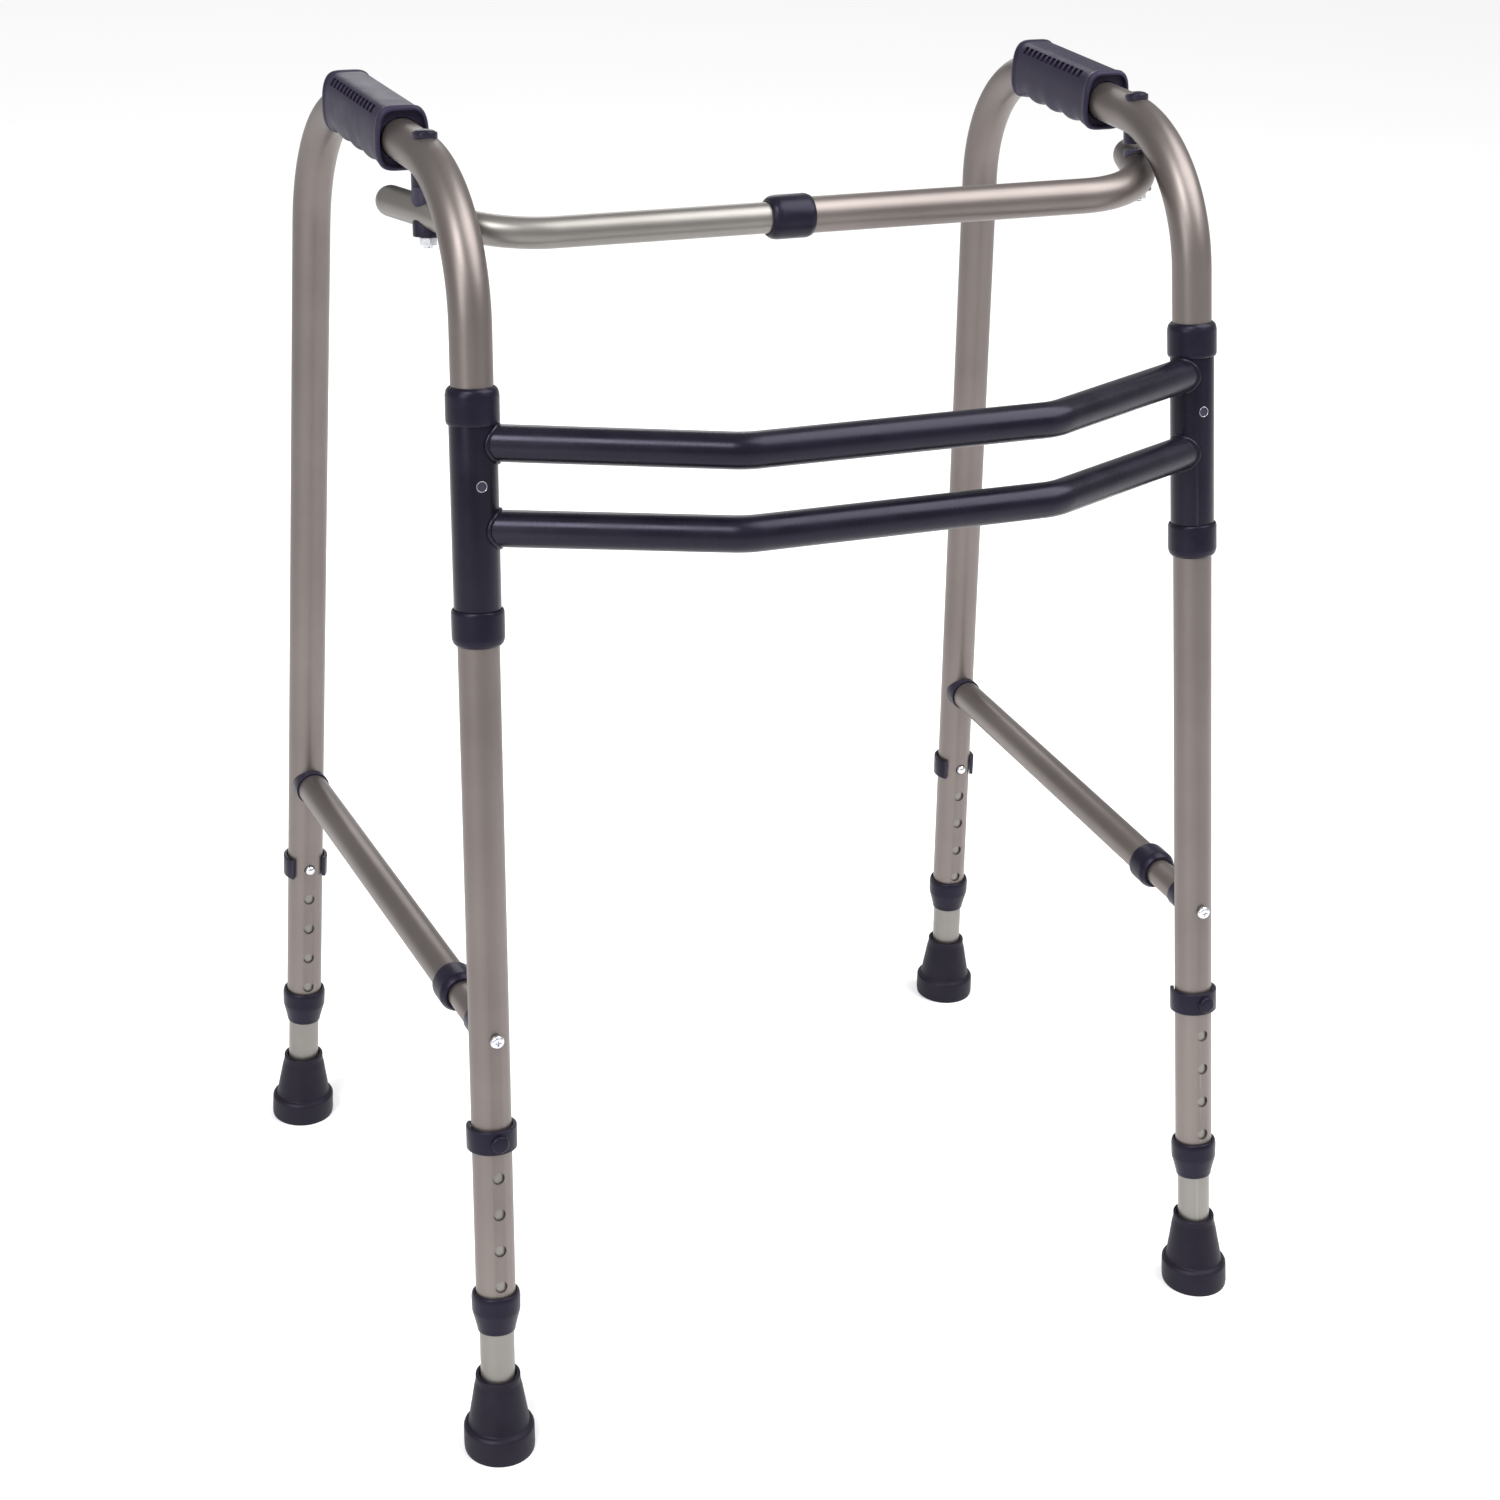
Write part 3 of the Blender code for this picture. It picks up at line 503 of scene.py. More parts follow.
def cut(piece, shape, operation="DIFFERENCE"):
    """Cut a shape from a piece, or join it on, and keep only the result."""
    before = piece.data.copy()
    tool = link(piece.name + "_tool", shape)
    boolean = piece.modifiers.new("cut", "BOOLEAN")
    boolean.object = tool
    boolean.operation = operation
    boolean.solver = "EXACT"
    bpy.context.view_layer.update()
    evaluated = piece.evaluated_get(bpy.context.evaluated_depsgraph_get())
    mesh = bpy.data.meshes.new_from_object(evaluated)
    piece.modifiers.clear()
    if "custom_normal" in mesh.attributes:
        mesh.attributes.remove(mesh.attributes["custom_normal"])
    mesh.shade_smooth()
    mesh.set_sharp_from_angle(angle=SHARP_ANGLE)
    keep_shading(mesh, before)
    piece.data = mesh
    bpy.data.meshes.remove(before)
    bpy.data.objects.remove(tool, do_unlink=True)


def soften(piece, width):
    """Round the sharp edges of a piece."""
    bevel = piece.modifiers.new("soft_edges", "BEVEL")
    bevel.width = width
    bevel.segments = 2
    bevel.limit_method = "ANGLE"
    bevel.angle_limit = SHARP_ANGLE
    bevel.use_clamp_overlap = True
    bevel.harden_normals = False


def dress(piece, body, slot, node=None):
    """Give a piece its material and body, and hide the CAD node it stands for."""
    piece.data.materials.clear()
    piece.data.materials.append(MATERIALS[slot])
    if body:
        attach(piece, body)
    if node:
        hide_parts(node)


def stand_in(node, shape):
    """A piece that takes the place of one CAD node."""
    piece = link(node + "_fine", shape)
    dress(piece, NODE_BODY[node], NODE_SLOT[node], node)
    return piece


def extra(name, shape, body, slot):
    """A small piece that the CAD model has no node for."""
    piece = link(name, shape)
    dress(piece, body, slot)
    return piece


# ---------------------------------------------------------------- shapes
def axis_frame(origin, direction, x_hint=(1, 0, 0)):
    """A frame at origin, with Z along direction and X as near x_hint as possible."""
    z = Vector(direction).normalized()
    y = z.cross(Vector(x_hint)).normalized()
    x = y.cross(z)
    result = Matrix((x, y, z)).transposed().to_4x4()
    result.translation = Vector(origin)
    return result


def skin(rings, closed=False):
    """Join rings of points with faces, with UVs in metres along and turns around."""
    shape = bmesh.new()
    rows = [[shape.verts.new(point) for point in ring] for ring in rings]
    centres = [sum((Vector(point) for point in ring), Vector()) / len(ring) for ring in rings]
    sizes = [(Vector(ring[0]) - centre).length for ring, centre in zip(rings, centres)]
    lengths = [0.0]
    for i in range(1, len(rings)):
        step = (centres[i] - centres[i - 1]).length + abs(sizes[i] - sizes[i - 1])
        lengths.append(lengths[-1] + step)
    layer = shape.loops.layers.uv.new("UVMap")
    pairs = [(i, i + 1) for i in range(len(rows) - 1)]
    if closed:
        pairs.append((len(rows) - 1, 0))
    for low, high in pairs:
        first, second = rows[low], rows[high]
        count = max(len(first), len(second))
        for i in range(count):
            j = (i + 1) % count
            corners = {}
            for row, place, turn in ((low, i, i), (low, j, i + 1), (high, j, i + 1), (high, i, i)):
                vertex = rows[row][place % len(rows[row])]
                corners.setdefault(vertex, (turn / count, lengths[row]))
            face = shape.faces.new(list(corners))
            for loop in face.loops:
                loop[layer].uv = corners[loop.vert]
    if not closed:
        for row in (rows[0], rows[-1]):
            if len(row) > 2:
                shape.faces.new(row)
    return shape


def circle(place, radius, height=0.0, sides=TUBE_SIDES):
    """Points of a circle round a frame's Z axis."""
    if radius == 0:
        return [place @ Vector((0, 0, height))]
    turns = [2 * math.pi * (i + 0.5) / sides for i in range(sides)]
    return [place @ Vector((radius * math.cos(a), radius * math.sin(a), height)) for a in turns]


def rounded(profile, radius):
    """Replace each corner of a (radius, height) profile by a small arc."""
    points = []
    count = len(profile)
    ring = profile[0][0] > 0 and profile[-1][0] > 0
    for i, corner in enumerate(profile):
        here = Vector(corner)
        if not ring and i in (0, count - 1):
            points.append(corner)
            continue
        before = Vector(profile[i - 1]) - here
        after = Vector(profile[(i + 1) % count]) - here
        reach = min(radius, before.length * CORNER_SHARE, after.length * CORNER_SHARE)
        start = here + before.normalized() * reach
        stop = here + after.normalized() * reach
        for step in range(CORNER_STEPS + 1):
            share = step / CORNER_STEPS
            point = start.lerp(here, share).lerp(here.lerp(stop, share), share)
            points.append((max(point.x, NEAR_ZERO), point.y))
    return points


def lathe(place, profile, sides=TUBE_SIDES, edge=EDGE):
    """Turn a (radius, height) profile round Z, with its corners rounded."""
    fine = rounded(profile, edge) if edge else profile
    rings = [circle(place, radius, height, sides) for radius, height in fine]
    return skin(rings, closed=fine[0][0] > 0 and fine[-1][0] > 0)


def rod(place, radius, low, high, sides=TUBE_SIDES):
    """A solid cylinder between two heights."""
    return lathe(place, [(0, low), (radius, low), (radius, high), (0, high)], sides, 0)


def collar(place, outer, bore, low, high, sides=TUBE_SIDES, edge=EDGE):
    """A ring between two heights, with rounded edges."""
    return lathe(place, [(bore, low), (outer, low), (outer, high), (bore, high)], sides, edge)


def path_frames(path, loop=False):
    """A frame at each point of a path, turned as little as possible between points."""
    along_x = abs((path[1] - path[0]).normalized().x) >= 0.8
    hint = Vector((0, 0, 1)) if along_x else Vector((1, 0, 0))
    count = len(path)
    frames = []
    for i, point in enumerate(path):
        ahead = path[(i + 1) % count] if loop else path[min(i + 1, count - 1)]
        behind = path[i - 1] if loop else path[max(i - 1, 0)]
        tangent = (point - behind).normalized() + (ahead - point).normalized()
        place = axis_frame(point, tangent, hint)
        hint = place.to_3x3() @ Vector((1, 0, 0))
        frames.append(place)
    return frames


def swept_tube(path, outer, bore):
    """A hollow tube with square ends."""
    frames = path_frames(path)
    outside = [circle(place, outer) for place in frames]
    inside = [circle(place, bore) for place in frames]
    return skin(outside + inside[::-1], closed=True)


def swept_rod(path, radius):
    """A solid bar with square ends."""
    return skin([circle(place, radius) for place in path_frames(path)])


def swept_loop(path, radius):
    """A bead along a closed path."""
    frames = path_frames(path, loop=True)
    return skin([circle(place, radius, sides=BEAD_SIDES) for place in frames], closed=True)


def domed_tube(path, outer, bore):
    """A hollow tube whose first end is closed by a round dome."""
    frames = path_frames(path)
    turns = [math.pi / 2 * i / DOME_STEPS for i in range(1, DOME_STEPS)]
    outside = [circle(frames[0], 0, -outer)]
    outside += [circle(frames[0], outer * math.sin(a), -outer * math.cos(a)) for a in turns]
    outside += [circle(place, outer) for place in frames]
    inside = [circle(frames[0], 0, -bore / 2)]
    inside += [circle(place, bore) for place in frames]
    return skin(outside + inside[::-1])


def rounded_path(corners, radius, steps=BEND_STEPS):
    """Points along straight runs joined by arcs of one radius."""
    points = [Vector(corners[0])]
    for before, corner, after in zip(corners, corners[1:], corners[2:]):
        corner = Vector(corner)
        back = (Vector(before) - corner).normalized()
        ahead = (Vector(after) - corner).normalized()
        half = back.angle(ahead) / 2
        centre = corner + (back + ahead).normalized() * radius / math.sin(half)
        spoke = corner + back * radius / math.tan(half) - centre
        turn = math.pi - 2 * half
        axis = back.cross(ahead)
        for step in range(steps + 1):
            points.append(centre + Matrix.Rotation(-turn * step / steps, 3, axis) @ spoke)
    points.append(Vector(corners[-1]))
    return points


def outline_block(place, outline, low, high):
    """Extrude an outline of (x, y) points between two heights."""
    return skin([[place @ Vector((x, y, z)) for x, y in outline] for z in (low, high)])


def merged(*shapes):
    """Put shapes that don't touch into one bmesh."""
    whole = bmesh.new()
    for shape in shapes:
        mesh = bpy.data.meshes.new("merged")
        shape.to_mesh(mesh)
        shape.free()
        whole.from_mesh(mesh)
        bpy.data.meshes.remove(mesh)
    return whole


# ---------------------------------------------------------------- the frame's lines
def leg_axis(side, end):
    """A leg's foot centre and its direction upward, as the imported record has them."""
    foot = Vector(MOUNTS[f"{end}_{side}_foot_rest"]["pos_m"])
    upward = -Vector(JOINTS[f"{end}_{side}_leg_slide"]["axis"])
    return foot, upward.normalized()


def leg_point(side, end, z):
    """A point on a leg's axis at a height."""
    foot, upward = leg_axis(side, end)
    return foot + upward * (z / upward.z)


def leg_frame(side, end):
    """The frame of a leg, with Z up along it from the floor."""
    return axis_frame(*leg_axis(side, end))


def along(side, end, z):
    """The distance along a leg's axis to a height."""
    return z / leg_axis(side, end)[1].z


def handle_path(side):
    """The side tube's centreline, from the front leg's end to the rear leg's."""
    corners = [
        leg_point(side, "front", TUBE_END_Z),
        leg_point(side, "front", HANDLE_Z),
        leg_point(side, "rear", HANDLE_Z),
        leg_point(side, "rear", TUBE_END_Z),
    ]
    return rounded_path(corners, HANDLE_BEND)


def handle_point(side, y):
    """A point on the straight run between the handle tube's two corners."""
    front = leg_point(side, "front", HANDLE_Z)
    rear = leg_point(side, "rear", HANDLE_Z)
    return front.lerp(rear, (y - front.y) / (rear.y - front.y))


def pivot_frame(side):
    """The frame of a bar pivot: parallel to the front leg, from the handle tube's centre."""
    centre = handle_point(side, PIVOT_Y)
    bend_start = leg_point(side, "front", HANDLE_Z).y + HANDLE_BEND * math.tan(FRONT_HALF_TURN)
    dip = max(0.0, bend_start - PIVOT_Y)
    centre.z -= HANDLE_BEND - math.sqrt(HANDLE_BEND**2 - dip**2)
    return axis_frame(centre, leg_axis(side, "front")[1])


def pivot_height(side, z):
    """The distance along the pivot's axis, from the handle tube's centre, to a height."""
    place = pivot_frame(side)
    return (z - place.translation.z) / (place.to_3x3() @ Vector((0, 0, 1))).z


def bar_path(side, end_x):
    """The top bar's centreline, from the tail behind the pivot to a place on the straight run."""
    outward = SIDES[side]
    pivot = pivot_frame(side) @ Vector((0, 0, pivot_height(side, BAR_Z)))
    tail = Vector((outward * math.sin(BAR_TAIL_ANGLE), math.cos(BAR_TAIL_ANGLE), 0))
    points = [pivot + tail * BAR_TAIL]
    for step in range(BEND_STEPS + 1):
        heading = BAR_TAIL_ANGLE + (math.pi / 2 - BAR_TAIL_ANGLE) * step / BEND_STEPS
        inward = BAR_BEND * (math.cos(BAR_TAIL_ANGLE) - math.cos(heading))
        forward = BAR_BEND * (math.sin(heading) - math.sin(BAR_TAIL_ANGLE))
        points.append(pivot + Vector((-outward * inward, -forward, -forward * BAR_SLOPE)))
    points.append(Vector((end_x, points[-1].y, points[-1].z)))
    return points


def brace_frame(side):
    """The frame of a side brace: at the rear leg's axis, with Z towards the front leg."""
    rear = leg_point(side, "rear", BRACE_Z)
    return axis_frame(rear, leg_point(side, "front", BRACE_Z) - rear)


def front_hole(side, end, z, radius):
    """A cutter through the front wall of a leg."""
    place = leg_frame(side, end)
    centre = place @ Vector((0, 0, along(side, end, z)))
    forward = place.to_3x3() @ Vector((0, -1, 0))
    return rod(axis_frame(centre, forward), radius, *HOLE_CUT, SMALL_SIDES)


# ---------------------------------------------------------------- side frames
def side_tube(side):
    """The bent tube with the holes for its buttons, pivot bolt and brace screw."""
    piece = stand_in(side + "_side_tube", swept_tube(handle_path(side), TUBE_R, TUBE_BORE))
    holes = []
    for end in ENDS:
        pitch = HOLE_PITCH / along(side, end, 1)
        holes += [front_hole(side, end, BUTTON_Z - pitch * i, HOLE_R) for i in range(HOLES)]
    holes.append(rod(pivot_frame(side), BOLT_R + GAP, -CUT_REACH, CUT_REACH, SMALL_SIDES))
    place = brace_frame(side)
    reach = (leg_point(side, "front", BRACE_Z) - place.translation).length
    holes.append(rod(place, SCREW_R + GAP, reach - CUT_REACH, reach + CUT_REACH, SMALL_SIDES))
    cut(piece, merged(*holes))


def grip_ring(side, y, wave, scale):
    """One section of the grip: flat on both sides, rounded on top, about the handle tube."""
    centre = handle_point(side, y)
    ring = []
    for i in range(GRIP_RING_POINTS):
        turn = 2 * math.pi * (i + 0.5) / GRIP_RING_POINTS
        across = math.copysign(abs(math.cos(turn)) ** GRIP_SIDE_FLATNESS, math.cos(turn))
        up = math.copysign(abs(math.sin(turn)) ** GRIP_CROWN_FLATNESS, math.sin(turn))
        height = GRIP_TOP if up > 0 else GRIP_BOTTOM - wave
        offset = Vector((across * GRIP_HALF_WIDTH, 0, up * height))
        ring.append(centre + offset * scale)
    return ring


def grip(side):
    """The moulded hand grip: end rims, recessed ends, finger scallops and two rows of slots."""
    length = GRIP_END_Y - GRIP_START_Y
    stations = [(offset, 0, scale) for offset, scale in GRIP_RIM]
    steps = SCALLOPS * SCALLOP_STEPS
    for step in range(steps + 1):
        share = step / steps
        offset = GRIP_BODY_START + (length - 2 * GRIP_BODY_START) * share
        depth = 0.5 - 0.5 * math.cos(2 * math.pi * SCALLOPS * share)
        stations.append((offset, SCALLOP_DEPTH * depth**SCALLOP_SHARPNESS, GRIP_BODY_SCALE))
    stations += [(length - offset, 0, scale) for offset, scale in reversed(GRIP_RIM)]
    rings = [grip_ring(side, GRIP_START_Y + offset, wave, scale) for offset, wave, scale in stations]
    piece = stand_in(side + "_grip", skin(rings))
    cut(piece, swept_rod(handle_path(side), TUBE_R + 2 * GAP))
    for y, inward in ((GRIP_START_Y, 1), (GRIP_END_Y, -1)):
        ends = [y - inward * GRIP_RECESS_DEPTH / 2, y + inward * GRIP_RECESS_DEPTH]
        cut(piece, skin([grip_ring(side, end, 0, GRIP_RECESS_SCALE) for end in ends]))
    slots = []
    for edge in SIDES.values():
        for i in range(SLOT_COUNT):
            centre = handle_point(side, SLOT_START_Y + SLOT_PITCH * i)
            centre += Vector((edge * SLOT_ACROSS, 0, SLOT_UP))
            place = Matrix.Translation(centre) @ Matrix.Rotation(edge * SLOT_TILT, 4, "Y")
            slot = bmesh.new()
            bmesh.ops.create_cube(slot, size=1.0)
            slot.transform(place @ Matrix.Diagonal((*SLOT_SIZE, 1)))
            slots.append(slot)
    cut(piece, merged(*slots))


def brace(side):
    """The side brace: tube, collar, stub, two saddles and the screw at the front leg."""
    place = brace_frame(side)
    rear = place.translation
    front = leg_point(side, "front", BRACE_Z)
    reach = (front - rear).length
    rear_face = TUBE_R + GAP
    mid = (rear.y - BRACE_COLLAR_Y) / (rear.y - front.y) * reach
    low = mid - BRACE_COLLAR_LENGTH / 2
    high = mid + BRACE_COLLAR_LENGTH / 2
    lip = high - BRACE_COLLAR_LIP
    tube_start = rear_face + BRACE_SADDLE
    stand_in(side + "_brace_tube", collar(place, BRACE_R, BRACE_BORE, tube_start, lip - GAP))
    ring = [
        (BRACE_R + GAP, low),
        (BRACE_COLLAR_R - 0.0006, low),
        (BRACE_COLLAR_R, low + 0.002),
        (BRACE_COLLAR_R, lip),
        (BRACE_COLLAR_R - 0.0022, high),
        (STUB_R + GAP, high),
        (STUB_R + GAP, lip),
        (BRACE_R + GAP, lip),
    ]
    stand_in(side + "_brace_collar", lathe(place, ring, edge=COLLAR_EDGE))
    stub_end = reach - TUBE_R - GAP - BRACE_SADDLE
    bore = SCREW_R + GAP
    stub = [
        (0, low - STUB_INSIDE),
        (STUB_R, low - STUB_INSIDE),
        (STUB_R, stub_end),
        (bore, stub_end),
        (bore, stub_end - STUB_BORE_DEPTH),
        (0, stub_end - STUB_BORE_DEPTH),
    ]
    stand_in(side + "_brace_stub", lathe(place, stub))
    saddles = {
        "rear": (TUBE_R / 2, tube_start - GAP),
        "front": (stub_end + GAP, reach - TUBE_R / 2),
    }
    for end, (start, stop) in saddles.items():
        shape = collar(place, BRACE_SADDLE_R[end], bore, start, stop)
        piece = stand_in(f"{side}_brace_{end}_saddle", shape)
        middle = along(side, end, BRACE_Z)
        low = middle - SADDLE_CUT_REACH
        high = middle + SADDLE_CUT_REACH
        cut(piece, rod(leg_frame(side, end), TUBE_R + 2 * GAP, low, high))
    brace_screw(side, place, stub_end - SCREW_DEPTH, reach + TUBE_R + 4 * GAP)


def brace_screw(side, place, start, head):
    """The screw through the front leg into the stub, with a domed head and a cross recess."""
    screw = [(0, start), (SCREW_R, start), (SCREW_R, head), (SCREW_HEAD_R, head)]
    crown = head + SCREW_CROWN_BASE
    for i in range(SCREW_CROWN_STEPS + 1):
        turn = math.pi / 2 * i / SCREW_CROWN_STEPS
        share = SCREW_CROWN_FLAT + (1 - SCREW_CROWN_FLAT) * math.cos(turn)
        screw.append((SCREW_HEAD_R * share, crown + SCREW_CROWN * math.sin(turn)))
    screw.append((0, crown + SCREW_CROWN))
    piece = stand_in(side + "_brace_screw", lathe(place, screw, SMALL_SIDES, FINE_EDGE / 2))
    long = CROSS_HALF_LENGTH
    wide = CROSS_HALF_WIDTH
    arms = [(-long, wide), (-long, -wide), (-wide, -wide), (-wide, -long)]
    arms += [(wide, -long), (wide, -wide), (long, -wide), (long, wide)]
    arms += [(wide, wide), (wide, long), (-wide, long), (-wide, wide)]
    tip = head + CROSS_LIFT
    cut(piece, outline_block(place, arms, tip, tip + CUT_REACH))


# ---------------------------------------------------------------- legs
def leg(side, end):
    """One telescopic leg: collar, extension tube, foot, clip and snap button."""
    name = f"{end}_{side}"
    place = leg_frame(side, end)
    up = along(side, end, 1)
    bottom = LEG_COLLAR_BOTTOM_Z * up
    top = LEG_COLLAR_TOP_Z * up
    step = (TUBE_END_Z - GAP) * up
    ring = [
        (EXTENSION_R + 2 * GAP, bottom),
        (0.0122, bottom),
        (0.0127, bottom + 0.003),
        (0.0142, bottom + 0.009),
        (LEG_COLLAR_R - 0.0002, bottom + 0.014),
        (LEG_COLLAR_R, top - 0.003),
        (LEG_COLLAR_R - 0.0007, top),
        (TUBE_R + 1.5 * GAP, top),
        (TUBE_R + 1.5 * GAP, step),
        (EXTENSION_R + 2 * GAP, step),
    ]
    stand_in(name + "_leg_collar", lathe(place, ring, edge=COLLAR_EDGE))
    tube = collar(place, EXTENSION_R, EXTENSION_BORE, EXTENSION_START_Z * up, EXTENSION_TOP_Z * up)
    piece = stand_in(name + "_leg_tube", tube)
    cut(piece, front_hole(side, end, BUTTON_Z, HOLE_R))
    foot(name, *leg_axis(side, end))
    clip(name, place, BUTTON_Z * up, closed_front=end == "front")
    snap_button(name, place, BUTTON_Z * up)


def foot(name, base, upward):
    """The rubber foot: a ribbed tread, a flange and a flared skirt, upright and skewed to the leg."""
    lean = upward / upward.z
    upright = Matrix(((1, 0, lean.x, base.x), (0, 1, lean.y, base.y), (0, 0, 1, 0), (0, 0, 0, 1)))
    socket = EXTENSION_R + 0.0008
    profile = [(0, TREAD_DEPTH)]
    for inner, outer in TREAD_RIBS:
        profile += [(inner, TREAD_DEPTH), (inner, 0), (outer, 0), (outer, TREAD_DEPTH)]
    profile += [(TREAD_RIM_R, TREAD_DEPTH), (TREAD_RIM_R, 0)]
    profile += [
        (FOOT_R - 0.0004, 0),
        (FOOT_R, 0.003),
        (FOOT_R - 0.0001, FOOT_FLANGE_Z - 0.0022),
        (FOOT_R - 0.0016, FOOT_FLANGE_Z - 0.0004),
        (FOOT_SKIRT[0][0] + 0.0015, FOOT_FLANGE_Z),
        (FOOT_SKIRT[0][0] + 0.0010, FOOT_FLANGE_Z + 0.0006),
        *FOOT_SKIRT,
        (FOOT_TOP_R, FOOT_TOP_Z - 0.004),
        (FOOT_TOP_R, FOOT_TOP_Z),
        (socket, FOOT_TOP_Z),
        (socket, FOOT_FLOOR_Z),
        (0, FOOT_FLOOR_Z),
    ]
    stand_in(name + "_foot", lathe(upright, profile, edge=0.0007))


def clip(name, place, height, closed_front):
    """The sprung C that snaps over the tube at the button. It opens at the back or at the front."""
    facing = math.pi / 2 if closed_front else -math.pi / 2
    start = facing + CLIP_GAP / 2
    sweep = 2 * math.pi - CLIP_GAP
    bore = TUBE_R + 1.7 * GAP
    low = height - CLIP_HEIGHT / 2
    high = low + CLIP_HEIGHT
    section = rounded([(bore, low), (CLIP_R, low), (CLIP_R, high), (bore, high)], COLLAR_EDGE)
    rings = []
    for i in range(CLIP_STEPS + 1):
        turn = start + sweep * i / CLIP_STEPS
        ring = [place @ Vector((r * math.cos(turn), r * math.sin(turn), z)) for r, z in section]
        rings.append(ring)
    piece = stand_in(name + "_clip", skin(rings))
    if closed_front:
        centre = place @ Vector((0, 0, height))
        forward = place.to_3x3() @ Vector((0, -1, 0))
        boss_frame = axis_frame(centre, forward)
        back = TUBE_R + 0.0016
        face = DOME_TIP + BOSS_LIFT
        wide, middle, narrow = BOSS_R
        boss = [(0, back), (wide, back), (middle, face - 0.0008), (narrow, face), (0, face + GAP)]
        cut(piece, lathe(boss_frame, boss, SMALL_SIDES, 0.0006), "UNION")
        cut(piece, rod(boss_frame, DOME_R + 3 * GAP, HOLE_CUT[0], DOME_TIP + 0.001, SMALL_SIDES))


def snap_button(name, place, height):
    """The dome that locks the leg, on its folded leaf spring inside the extension tube."""
    centre = place @ Vector((0, 0, height))
    forward = place.to_3x3() @ Vector((0, -1, 0))
    upward = place.to_3x3() @ Vector((0, 0, 1))
    leaf = axis_frame(centre, upward.cross(forward), upward)
    front = EXTENSION_BORE - LEAF_CLEARANCE
    waist = front - LEAF_TAPER
    outline = [
        (-LEAF_BOTTOM, LEAF_FOLD_SHIFT),
        (-LEAF_FOLD, -waist),
        (LEAF_TOP, -front),
        (LEAF_TOP, -front + LEAF_THICKNESS),
        (-LEAF_INNER_FOLD, -waist + LEAF_THICKNESS),
        (-LEAF_INNER_BOTTOM, LEAF_FOLD_SHIFT),
        (-LEAF_INNER_FOLD, waist - LEAF_THICKNESS),
        (LEAF_TOP, front - LEAF_THICKNESS),
        (LEAF_TOP, front),
        (-LEAF_FOLD, waist),
    ]
    shape = outline_block(leaf, outline, -LEAF_HALF_WIDTH, LEAF_HALF_WIDTH)
    node = name + "_snap_button"
    piece = link(node + "_fine", shape)
    dome = [(0, front - DOME_ROOT), (DOME_R, front - DOME_ROOT)]
    for i in range(SMALL_DOME_STEPS):
        turn = math.pi / 2 * i / SMALL_DOME_STEPS
        drop = DOME_R * DOME_FLATNESS * (1 - math.sin(turn))
        dome.append((DOME_R * math.cos(turn), DOME_TIP - drop))
    dome.append((0, DOME_TIP))
    cut(piece, lathe(axis_frame(centre, forward), dome, SMALL_SIDES, 0), "UNION")
    dress(piece, None, NODE_SLOT[node], node)
    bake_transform(piece)


# ---------------------------------------------------------------- crossbar
def weld_bead(name, rail_start, rail_end, side):
    """The weld where a rail meets its sleeve, along the line where their surfaces meet."""
    foot_point, upward = leg_axis(side, "front")
    direction = (rail_end - rail_start).normalized()
    place = axis_frame(rail_start, direction)
    flat = direction - upward * direction.dot(upward)
    path = []
    for i in range(WELD_STEPS):
        turn = 2 * math.pi * i / WELD_STEPS
        start = place @ Vector((RAIL_R * math.cos(turn), RAIL_R * math.sin(turn), 0))
        away = start - foot_point
        away -= upward * away.dot(upward)
        a = flat.length_squared
        b = 2 * away.dot(flat)
        c = away.length_squared - (SLEEVE_R + WELD_LIFT) ** 2
        distance = (-b + math.sqrt(max(b * b - 4 * a * c, 0))) / (2 * a)
        path.append(start + direction * distance)
    extra(name, swept_loop(path, WELD_R), "crossbar", "black_paint")


def sleeve(side):
    """One sleeve round a front leg, with the rimmed hole in it, a dark disc of painted shade in that
    hole, and its two collars.
    """
    place = leg_frame(side, "front")
    up = along(side, "front", 1)
    low = SLEEVE_LOW_Z * up
    high = SLEEVE_HIGH_Z * up
    bore = TUBE_R + 1.4 * GAP
    piece = stand_in(side + "_sleeve", collar(place, SLEEVE_R, bore, low, high))
    cut(piece, front_hole(side, "front", SLEEVE_HOLE_Z, SLEEVE_HOLE_R))
    hole = place @ Vector((0, 0, SLEEVE_HOLE_Z * up))
    eyelet_frame = axis_frame(hole, place.to_3x3() @ Vector((0, -1, 0)))
    back = TUBE_R + 0.0007
    front = SLEEVE_R + 0.0001
    eyelet = [(EYELET_BORE, back), (EYELET_R, back), (EYELET_R, front), (EYELET_LIP_R, front)]
    rim = lathe(eyelet_frame, eyelet, SMALL_SIDES, FINE_EDGE / 2)
    extra(side + "_sleeve_eyelet", rim, "crossbar", "zinc_steel")
    # A dark disc just inside the hole is painted shade: it stands for the shade in the hole, over the
    # leg tube behind it.
    shade = rod(eyelet_frame, SHADE_R, TUBE_R + 0.0006, TUBE_R + 0.0010, SMALL_SIDES)
    extra(side + "_sleeve_hole_shade", shade, "crossbar", "black_plastic")
    for label, start, direction in (("upper", high, 1), ("lower", low, -1)):
        lip = start + direction * GAP
        outer_end = lip + direction * SLEEVE_LIP
        inner_end = outer_end - direction * SLEEVE_COLLAR_HEIGHT
        ring = [
            (SLEEVE_R + GAP, inner_end),
            (SLEEVE_COLLAR_R - 0.0006, inner_end),
            (SLEEVE_COLLAR_R, inner_end + direction * 0.0015),
            (SLEEVE_COLLAR_R, outer_end - direction * 0.0045),
            (SLEEVE_COLLAR_R - 0.0008, outer_end - direction * 0.0015),
            (SLEEVE_COLLAR_R - 0.0024, outer_end),
            (bore, outer_end),
            (bore, lip),
            (SLEEVE_R + GAP, lip),
        ]
        stand_in(f"{side}_{label}_sleeve_collar", lathe(place, ring, edge=COLLAR_EDGE))


